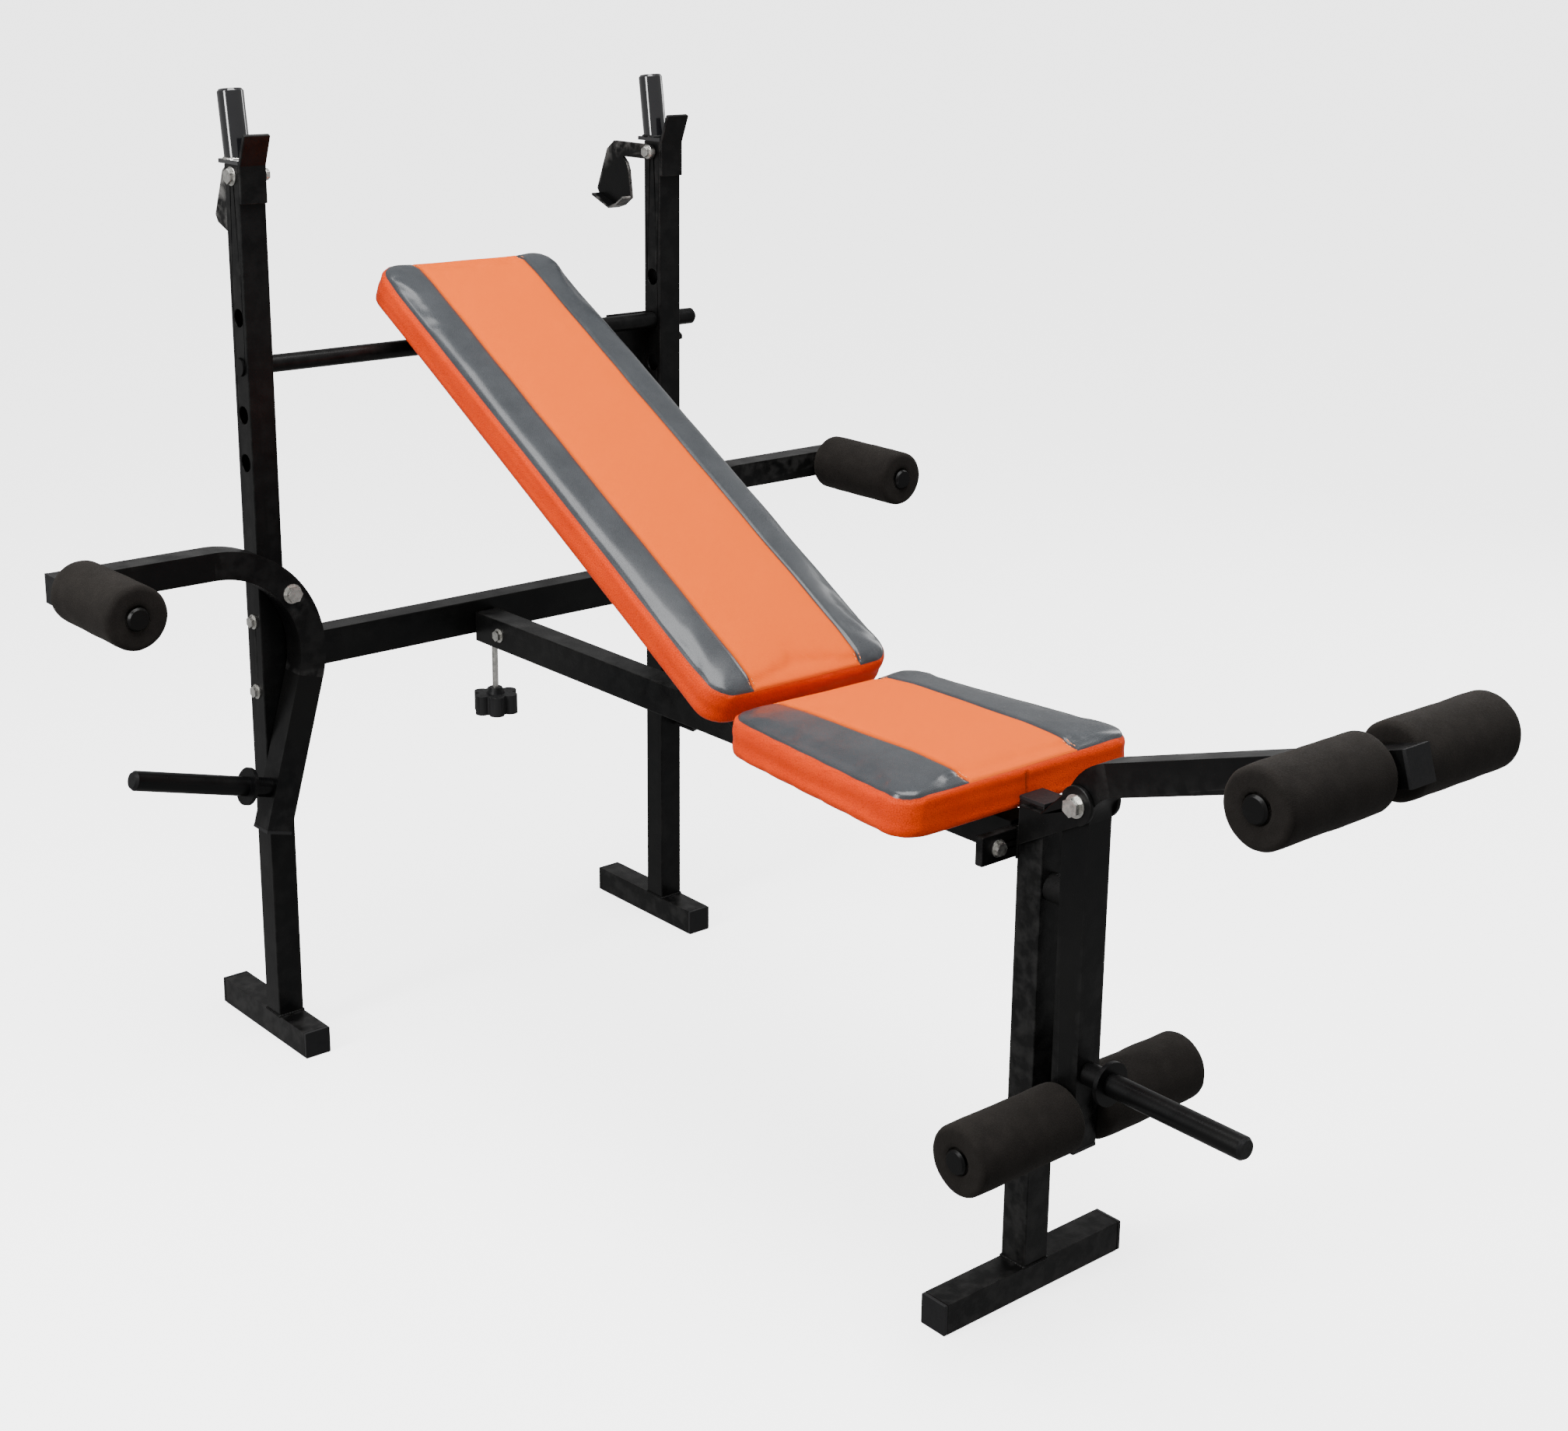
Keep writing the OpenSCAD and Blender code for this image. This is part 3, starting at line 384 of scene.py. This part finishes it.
def sweep(path, radius, sides=8, closed=False):
    """A capped or closed tube along path; radius is a function of the point's number."""
    verts, faces = [], []
    count = len(path)
    for i, point in enumerate(path):
        before = path[i - 1] if i or closed else path[0]
        after = path[(i + 1) % count] if i < count - 1 or closed else path[-1]
        along = (after - before).normalized()
        side = along.orthogonal().normalized()
        if abs(along.z) < NOT_UPRIGHT:
            side = along.cross(Vector((0, 0, 1))).normalized()
        up = side.cross(along)
        for k in range(sides):
            a = math.tau * k / sides
            verts.append(point + radius(i) * (math.cos(a) * side + math.sin(a) * up))
    rings = count if closed else count - 1
    for i in range(rings):
        a, b = i * sides, (i + 1) % count * sides
        for k in range(sides):
            m = (k + 1) % sides
            faces.append((a + k, a + m, b + m, b + k))
    if not closed:
        faces.append(tuple(reversed(range(sides))))
        faces.append(tuple(range((count - 1) * sides, count * sides)))
    return verts, faces


def spaced(corners, step, closed=True):
    """Points a step apart along straight runs between the corners."""
    points = []
    ends = corners[1:] + corners[:1] if closed else corners[1:]
    for a, b in zip(corners, ends):
        n = max(1, round((b - a).length / step))
        points += [a.lerp(b, i / n) for i in range(n)]
    if not closed:
        points.append(corners[-1])
    return points


# ---------------------------------------------------------------- CAD nodes

BEVELS = {"frame_paint": 0.0012, "cap_plastic": 0.0010, "zinc": 0.0006,
          "gloss_tube": 0.0012, "bumper_rubber": 0.0012, "board": 0.0008}
BAR_HOOKS = ("hook_left", "hook_right")      # the bar rubs their edges bare
WELD_GAP = 0.00002
BEVEL_ANGLE = math.radians(32)


SOFT_NODES = [n for n in NODES if n.startswith("roller") or n in ("seat_pad", "back_pad")]
SLOT_OF = {part["node"]: part["material_slot"] for part in frame["record"]["subparts"]}


def dress(node):
    """Gives a CAD node its paint and softens its edges with modifiers."""
    kind = SLOT_OF[node.name]
    node.data.materials.clear()
    node.data.materials.append(PAINTS["bar_hook" if node.name in BAR_HOOKS else kind])
    weld = node.modifiers.new("join", "WELD")
    weld.merge_threshold = WELD_GAP
    bevel = node.modifiers.new("edges", "BEVEL")
    bevel.width = BEVELS[kind]
    bevel.segments = 2
    bevel.limit_method = "ANGLE"
    bevel.angle_limit = BEVEL_ANGLE
    bevel.use_clamp_overlap = True
    node.modifiers.new("shade", "WEIGHTED_NORMAL").keep_sharp = True


# ---------------------------------------------------------------- cushions

def rounded_outline(corners, radius, inset, steps=9):
    """The outline with round corners, moved inwards by inset; corners run anticlockwise."""
    points = []
    n = len(corners)
    for i in range(n):
        before, here, after = (Vector(corners[(i + k) % n]) for k in (-1, 0, 1))
        into = (here - before).normalized()
        away = (after - here).normalized()
        turn = into.angle_signed(away)
        reach = radius * math.tan(abs(turn) / 2)
        start = here - into * reach
        centre = start + Vector((-into.y, into.x)) * radius
        first = math.atan2(start.y - centre.y, start.x - centre.x)
        for k in range(steps + 1):
            a = first + abs(turn) * k / steps
            points.append(centre + (radius - inset) * Vector((math.cos(a), math.sin(a))))
    return points


def inside_by(point, corners, radius=PAD_R):
    """How far a point is inside the rounded outline; negative outside."""
    n = len(corners)
    away = []
    for i in range(n):
        a, b = Vector(corners[i]), Vector(corners[(i + 1) % n])
        d = (b - a).normalized()
        away.append((point - a).dot(Vector((-d.y, d.x))) - radius)
    low = sorted(away)[:2]
    if low[0] < 0 and low[1] < 0:
        return radius - math.hypot(*low)
    return radius + min(away)


START_SMALLER = 0.0012      # the pad swells to its size
START_LOWER = 0.0055
EDGE_ROUND = 0.009
ROUND_STEPS = 6
VOXEL = 0.0050
RIM_Z = PAD_T - START_LOWER - EDGE_ROUND    # where the top starts to round over
FLAT_BELOW = 0.0022         # the part of the blank held flat on its board
CLOTH = {"quality": 5, "mass": 0.25, "tension_stiffness": 18, "compression_stiffness": 18,
         "shear_stiffness": 8, "bending_stiffness": 1.2, "use_pressure": True,
         "uniform_pressure_force": 4.0}
FRAMES = 20
CAP = 0.0080                # how far the cover may move
CAP_AT_EDGE = 0.35          # share of the cap that is left at the outline
CAP_SOFT, CAP_OVER = 0.15, 0.004
CROWN_REACH = 0.085         # the top rises over this far from the outline
EDGE_REACH = 0.05           # the outline is held over this far inwards
MOST_IN = 0.0006            # the outline keeps its size while the pad swells
MOST_DOWN = 0.0005
MOST_OUT = 0.0022


def pad_blank(name, corners):
    """The slack pad before it is blown up: a rounded slab on z = 0."""
    top = PAD_T - START_LOWER
    rings = [(0.005, 0.0), (0.001, 0.0012)]     # inset and height
    rings += [(0.0, z) for z in (0.004, 0.010, 0.018, 0.026, 0.031)]
    for k in range(1, ROUND_STEPS + 1):
        a = math.pi / 2 * k / ROUND_STEPS
        rings.append((EDGE_ROUND * (1 - math.cos(a)), top - EDGE_ROUND * (1 - math.sin(a))))
    verts, faces, count = [], [], 0
    for inset, z in rings:
        ring = rounded_outline(corners, PAD_R, inset + START_SMALLER)
        count = len(ring)
        verts += [Vector((q.x, q.y, z)) for q in ring]
    for i in range(len(rings) - 1):
        for k in range(count):
            m = (k + 1) % count
            a, b = i * count, (i + 1) * count
            faces.append((a + k, a + m, b + m, b + k))
    faces.append(tuple(reversed(range(count))))
    faces.append(tuple(range((len(rings) - 1) * count, len(rings) * count)))
    return piece(name, verts, faces, PAINTS["foam"])


def only(obj):
    """Makes obj the one selected and active object."""
    bpy.ops.object.select_all(action="DESELECT")
    obj.select_set(True)
    bpy.context.view_layer.objects.active = obj


def apply_all(obj):
    """Replaces the mesh with what its modifiers make of it."""
    graph = bpy.context.evaluated_depsgraph_get()
    done = bpy.data.meshes.new_from_object(obj.evaluated_get(graph))
    obj.modifiers.clear()
    obj.data = done


def inflate(obj, corners):
    """Blows the pad up with cloth; its board side stays flat."""
    start = [v.co.copy() for v in obj.data.vertices]
    held = obj.vertex_groups.new(name="board_side")
    flat = [v.index for v in obj.data.vertices if v.co.z < FLAT_BELOW]
    held.add(flat, 1.0, "REPLACE")
    cloth = obj.modifiers.new("swell", "CLOTH")
    for key, value in CLOTH.items():
        setattr(cloth.settings, key, value)
    cloth.settings.vertex_group_mass = held.name
    cloth.settings.effector_weights.gravity = 0
    cloth.point_cache.frame_start, cloth.point_cache.frame_end = 1, FRAMES
    scene = bpy.context.scene
    for step in range(1, FRAMES + 1):
        scene.frame_set(step)
    apply_all(obj)
    scene.frame_set(1)
    for v, was in zip(obj.data.vertices, start):
        v.co = was + held_back(v.co - was, outward(was.xy, corners), inside_by(was.xy, corners))


def held_back(move, out, inside):
    """Caps how far a point of the cover moves; the sides hardly pull in, nothing sinks."""
    near_edge = max(0.0, 1.0 - inside / EDGE_REACH)
    lateral = move.xy.dot(out)
    wanted = min(MOST_OUT, max(-MOST_IN, lateral))
    move.xy += out * (wanted - lateral) * near_edge
    move.z = max(-MOST_DOWN, move.z)
    rise = min(1.0, max(0.0, inside) / CROWN_REACH)
    cap = CAP * (CAP_AT_EDGE + (1.0 - CAP_AT_EDGE) * rise)
    if move.length > cap:
        move *= (cap + CAP_SOFT * min(move.length - cap, CAP_OVER)) / move.length
    return move


def outward(point, corners):
    """The direction in which the outline is left fastest."""
    step = 0.001
    gx = inside_by(point + Vector((step, 0)), corners)
    gy = inside_by(point + Vector((0, step)), corners)
    here = inside_by(point, corners)
    g = Vector((here - gx, here - gy))
    return g.normalized() if g.length else g


def dip(distance, width):
    """A smooth groove: 1 on its line, fading over its width."""
    return math.exp(-(distance / width) ** 2)


CHANNEL = (0.0022, 0.0024)      # depth and width of the seams beside the centre panel
RIM_SEAM = (0.0010, 0.0022)
FRONT_SEAM = (0.0016, 0.0020)
SEAM_FADE = 0.004
SEAM_FULL = 0.0020              # a seam this deep gets the full painted shade
CREASE, LUMP = 0.0011, 0.0010
SIDE_LOW, SIDE_FRONT = 0.004, 0.02
OFF_BOARD = 0.003               # below this a point lies on the board


def seam_depth(x, y, z, inside, corners, front_seam):
    """How deep the sewn seams are at a point of the pad."""
    if z > RIM_Z:
        fade = min(1.0, max(0.0, inside - TOP_SEAM) / SEAM_FADE)
        return max(CHANNEL[0] * dip(abs(x) - PANEL_HALF, CHANNEL[1]) * fade,
                   RIM_SEAM[0] * dip(inside - TOP_SEAM, RIM_SEAM[1]))
    if front_seam and y < corners[0][1] + SIDE_FRONT and z > SIDE_LOW:
        return FRONT_SEAM[0] * dip(x, FRONT_SEAM[1])
    return 0.0


def sew(obj, corners, front_seam):
    """Cuts the sewn seams into the swollen pad and records them for the material."""
    mesh = obj.data
    mesh.update()
    inset_layer = mesh.attributes.new("top_inset", "FLOAT", "POINT")
    seam_layer = mesh.attributes.new("seam", "FLOAT", "POINT")
    normals = [v.normal.copy() for v in mesh.vertices]
    for v, out in zip(mesh.vertices, normals):
        x, y, z = v.co
        inside = inside_by(Vector((x, y)), corners)
        inset_layer.data[v.index].value = inside - max(0.0, RIM_Z - z)
        deep = seam_depth(x, y, z, inside, corners, front_seam)
        seam_layer.data[v.index].value = min(1.0, deep / SEAM_FULL)
        # creases run round the side bands and the filling is a little uneven
        crease = noise.noise(Vector((x * 9.0, y * 9.0, z * 85.0))) * CREASE * (1.0 - abs(out.z))
        lumps = noise.noise(Vector((x, y, z)) * 16.0) * LUMP * max(0.0, out.z)
        if z > OFF_BOARD:
            v.co += out * (crease + lumps - deep)
        elif inside > POCKET_IN:
            v.co.z = POCKET_UP
    mesh.update()


STITCH_PITCH = 0.0046
STITCH_R = 0.00042
STITCH_SIDE = 0.0032            # from the seam to each row of stitches
STITCH_SPAN = 0.34              # half a stitch's length as a share of the pitch
STITCH_ALONG = (-1.0, -0.6, 0.0, 0.6, 1.0)
LOOK_FROM = Vector((0.0, 0.0, 0.05))
DOWN = Vector((0.0, 0.0, -1.0))
SEAM_ENDS = 0.012               # the rows stop this far inside the outline


def stitch(tree, mid, along):
    """Points of one stitch on the surface, its ends pulled into the cover."""
    path = []
    for t in STITCH_ALONG:
        at = mid + along * t * STITCH_PITCH * STITCH_SPAN
        hit, out, _, _ = tree.ray_cast(at + LOOK_FROM, DOWN)
        if hit is not None:
            path.append(hit + out * STITCH_R * (0.75 - 1.1 * t * t))
    return path


def stitches(name, obj, runs, body):
    """Thread stitches laid on the pad's surface beside a seam."""
    tree = BVHTree.FromPolygons([v.co for v in obj.data.vertices],
                                [p.vertices for p in obj.data.polygons])
    verts, faces = [], []
    for start, end in runs:
        n = int((end - start).length / STITCH_PITCH)
        along = (end - start).normalized()
        for i in range(n):
            path = stitch(tree, start + along * STITCH_PITCH * (i + 0.5), along)
            if len(path) < len(STITCH_ALONG):
                continue
            v, f = sweep(path, lambda k: STITCH_R, 6)
            base = len(verts)
            verts += v
            faces += [tuple(base + q for q in face) for face in f]
    made = piece(name, verts, faces, PAINTS["thread"])
    made.matrix_world = obj.matrix_world
    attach(made, body)


def cushion(which, corners, place, body, cad_node, front_seam):
    """One pad: blank, swelling, seams, vinyl and its rows of stitches."""
    obj = pad_blank(which + "_cushion", corners)
    only(obj)
    remesh = obj.modifiers.new("even", "REMESH")
    remesh.mode = "VOXEL"
    remesh.voxel_size = VOXEL
    apply_all(obj)
    inflate(obj, corners)
    finer = obj.modifiers.new("finer", "SUBSURF")
    finer.levels = finer.render_levels = 1
    apply_all(obj)
    sew(obj, corners, front_seam)
    obj.data.polygons.foreach_set("use_smooth", [True] * len(obj.data.polygons))
    obj.data.materials.clear()
    obj.data.materials.append(upholstery(which))
    obj.matrix_world = place
    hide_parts(cad_node)
    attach(obj, body)
    low, high = corners[0][1] + SEAM_ENDS, corners[2][1] - SEAM_ENDS
    runs = []
    for s in (-1, 1):
        for off in (-STITCH_SIDE, STITCH_SIDE):
            x = s * PANEL_HALF + off
            runs.append((Vector((x, low, 0)), Vector((x, high, 0))))
    stitches(which + "_stitches", obj, runs, body)


def seat_corners():
    (yb, wb), (yf, wf) = SEAT_BACK, SEAT_FRONT
    return [(-wf, yf), (wf, yf), (wb, yb), (-wb, yb)]


def back_corners():
    y0, y1, w = BACK_LOCAL
    return [(-w, y0), (w, y0), (w, y1), (-w, y1)]


# ---------------------------------------------------------------- foam rollers

ROLLER_R = 0.0385
ROLLER_ROUND = 0.0065
BORE_R = 0.0083
RECESS_R = 0.0150
RECESS = 0.0045
SKIN_RINGS, RIM_RINGS, ROLLER_STEPS = 22, 6, 72
SWELLS, PITS, SHRUNK = 0.0007, 0.0002, 0.0004   # unevenness of the foam, in metres


def roller_profile(length):
    """Outer skin, rounded rims and the moulded recess round the bore."""
    half = length / 2
    straight = length - 2 * ROLLER_ROUND
    skin = [(ROLLER_R, -half + ROLLER_ROUND + straight * i / SKIN_RINGS)
            for i in range(SKIN_RINGS + 1)]
    rim = []
    for k in range(1, RIM_RINGS + 1):
        a = math.pi / 2 * k / RIM_RINGS
        rim.append((ROLLER_R - ROLLER_ROUND * (1 - math.cos(a)),
                    half - ROLLER_ROUND * (1 - math.sin(a))))
    face = [(0.027, half - 0.0002), (0.021, half - 0.0004), (RECESS_R + 0.0015, half - 0.0005),
            (RECESS_R, half - 0.0018), (RECESS_R - 0.0006, half - RECESS),
            (BORE_R + 0.001, half - RECESS - 0.0006), (BORE_R, half - RECESS - 0.0016)]
    end = rim + face
    low = [(r, -z) for r, z in reversed(end)]
    return low + skin[1:-1] + end


def roller(node):
    """One foam sleeve in the place of its CAD solid, with a slightly uneven skin."""
    lo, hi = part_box(node)
    size, centre = hi - lo, (hi + lo) / 2
    axis = max(range(3), key=lambda k: size[k])
    verts, faces = lathe(roller_profile(size[axis]), ROLLER_STEPS)
    seed = Vector((len(node) * 3.1, centre.x * 50, centre.z * 40))
    for v in verts:
        out = Vector((v.x, v.y, 0))
        if out.length > RECESS_R:
            soft = noise.noise(v * 38.0 + seed) * SWELLS + noise.noise(v * 160.0 + seed) * PITS
            v += out.normalized() * (soft - SHRUNK)
    made = piece(node + "_foam", verts, faces, PAINTS["foam"])
    turn = Matrix.Rotation(math.pi / 2, 4, "Y" if axis == 0 else "X")
    made.matrix_world = Matrix.Translation(centre) @ turn
    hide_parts(node)
    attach(made, node)


# ---------------------------------------------------------------- welds

BEAD_R = 0.0019
BEAD_STEP = 0.0012
BEAD_SHAKE = 0.0003         # how far a bead strays from its corner
REST_RING = 0.0163          # radius of the weld round a rest post


def bead(name, corners, body, closed=True, paint="weld"):
    """A fillet weld with its ripples, along the given corners."""
    path = spaced([Vector(c) for c in corners], BEAD_STEP, closed)
    for point in path:
        point += Vector((noise.noise(point * 400), noise.noise(point * 410), 0)) * BEAD_SHAKE

    def ripple(i):
        return BEAD_R * (1.0 + 0.16 * math.sin(i * 2.1) + 0.14 * noise.noise(path[i] * 300))

    verts, faces = sweep(path, ripple, 8, closed)
    made = piece(name, verts, faces, PAINTS[paint])
    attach(made, body)
    return made


def tube_foot(x, y):
    """The four corners where an upright square tube stands on its foot tube."""
    return [(x - HALF, y - HALF, TUBE), (x + HALF, y - HALF, TUBE),
            (x + HALF, y + HALF, TUBE), (x - HALF, y + HALF, TUBE)]


def ring_loop(x, y, z, steps=40):
    """A level ring round a rest post."""
    normal = Vector((0, 0, 1))
    side = normal.orthogonal().normalized()
    up = normal.cross(side)
    return [Vector((x, y, z)) + REST_RING * (math.cos(math.tau * i / steps) * side
                                             + math.sin(math.tau * i / steps) * up)
            for i in range(steps)]


def all_welds():
    low, high = CROSSBAR_Z
    for side, s in (("left", -1), ("right", 1)):
        x = s * UPRIGHT_X
        bead("weld_upright_" + side, tube_foot(x, Y_OFF), "frame")
        bead("weld_rest_" + side, ring_loop(x, *REST_FOOT), "frame",
             paint="bright" if s < 0 else "weld")
        inner = s * (UPRIGHT_X - HALF - END_PLATE_T)
        loop = [(inner, Y_OFF - HALF, high), (inner, Y_OFF + HALF, high),
                (inner, Y_OFF + HALF, low), (inner, Y_OFF - HALF, low)]
        bead("weld_crossbar_" + side, loop, "frame")
    bead("weld_post", tube_foot(0, POST_Y), "frame")
    low, high = FLANGE_Z
    for name, x in (("weld_flange", -HALF), ("weld_flange_2", HALF)):
        bead(name, [(x, POST_Y + HALF, high), (x, POST_Y + HALF, low)], "frame", closed=False)


# ---------------------------------------------------------------- studio

def area_light(name, place, aim, size, watts):
    """A soft rectangular lamp turned towards aim."""
    data = bpy.data.lights.new(name, "AREA")
    data.shape = "RECTANGLE"
    data.size, data.size_y = size
    data.energy = watts
    lamp = bpy.data.objects.new(name, data)
    lamp.location = place
    lamp.rotation_mode = "QUATERNION"
    lamp.rotation_quaternion = (Vector(aim) - Vector(place)).to_track_quat("-Z", "Y")
    bpy.context.scene.collection.objects.link(lamp)


LAMPS = (("overhead", (-0.3, -0.4, 3.4), (0, 0, 0.5), (2.6, 2.6), 175),
         ("left", (-3.2, 0.2, 2.0), (0, 0, 0.6), (0.8, 2.2), 110),
         ("right", (3.0, 0.6, 1.8), (0, 0, 0.6), (0.7, 2.0), 25))
SKY_LIGHT = 0.42
FLOOR_GLOW = 3.0            # keeps the floor pale; the bench takes no light from it
FLOOR_Z = -0.0005
BACKDROP = ((40.0, 0.0), (52.0, 1.2), (64.0, 5.0), (75.0, 12.0), (85.0, 25.0), (92.0, 45.0),
            (94.0, 80.0))       # radius and height of the floor's rise into a backdrop
BACKDROP_STEPS = 64


def bowl(profile, steps):
    """A flat disc whose rim rises, open at the top."""
    verts = [Vector((0.0, 0.0, FLOOR_Z))]
    for i in range(steps):
        a = math.tau * i / steps
        verts += [Vector((r * math.cos(a), r * math.sin(a), z + FLOOR_Z)) for r, z in profile]
    n = len(profile)
    faces = []
    for i in range(steps):
        here, there = 1 + i * n, 1 + (i + 1) % steps * n
        faces.append((0, here, there))
        faces += [(here + k, here + k + 1, there + k + 1, there + k) for k in range(n - 1)]
    return verts, faces


def studio():
    """Even sky, three soft lamps and a pale floor that rises into a backdrop."""
    world = bpy.data.worlds.new("studio")
    world.use_nodes = True
    sky = world.node_tree.nodes["Background"]
    sky.inputs[0].default_value = (1.0, 1.0, 1.0, 1.0)
    sky.inputs[1].default_value = SKY_LIGHT
    bpy.context.scene.world = world
    for lamp in LAMPS:
        area_light(*lamp)
    p = Paint("floor_paint", Specular_IOR_Level=0.2, Emission_Strength=FLOOR_GLOW)
    p.shader.inputs["Emission Color"].default_value = (1.0, 1.0, 1.0, 1.0)
    shade = p.mix(p.noise(1.5), (0.94, 0.94, 0.94), (0.96, 0.96, 0.96))
    p.use(shade, p.between(p.noise(3.0), 0.3, 0.7, 0.6, 0.75))
    verts, faces = bowl(BACKDROP, BACKDROP_STEPS)
    floor = piece("floor", verts, faces, p.mat)
    floor.visible_glossy = floor.visible_diffuse = floor.visible_shadow = False


CAMERA_AT = (-1.67992, -1.91840, 1.40247)
CAMERA_TURN = (math.radians(40.60), math.radians(-15.36), math.radians(0.66))
LENS, SENSOR = 54.08, 36.0
SHIFT_Y = -0.08
CLIP = (0.05, 220.0)


def camera():
    """The main view: yaw from +Y towards +X, then pitch and roll."""
    yaw, pitch, roll = CAMERA_TURN
    ahead = Vector((math.sin(yaw) * math.cos(pitch), math.cos(yaw) * math.cos(pitch),
                    math.sin(pitch)))
    right = Vector((math.cos(yaw), -math.sin(yaw), 0.0))
    up = right.cross(ahead)
    rolled_right = math.cos(roll) * right + math.sin(roll) * up
    rolled_up = -math.sin(roll) * right + math.cos(roll) * up
    data = bpy.data.cameras.new("camera")
    data.lens = LENS
    data.sensor_width = SENSOR
    data.shift_y = SHIFT_Y
    data.clip_start, data.clip_end = CLIP
    cam = bpy.data.objects.new("camera", data)
    turn = Matrix((rolled_right, rolled_up, -ahead)).transposed().to_4x4()
    cam.matrix_world = Matrix.Translation(CAMERA_AT) @ turn
    bpy.context.scene.collection.objects.link(cam)
    bpy.context.scene.camera = cam


# ---------------------------------------------------------------- assembly

for name, node in NODES.items():
    if name not in SOFT_NODES:
        dress(node)

SEAT_PLACE = Matrix.Translation((0, 0, SEAT_LOW))
HINGE_FRAME = Matrix.Translation(HINGE) @ Matrix.Rotation(RECLINE, 4, "X")
BACK_PLACE = HINGE_FRAME @ Matrix.Translation((0, 0, BACK_LOW))
cushion("seat", seat_corners(), SEAT_PLACE, "frame", "seat_pad", front_seam=True)
cushion("back", back_corners(), BACK_PLACE, "backrest", "back_pad", front_seam=False)
for name in SOFT_NODES:
    if name.startswith("roller"):
        roller(name)
all_welds()
studio()
camera()
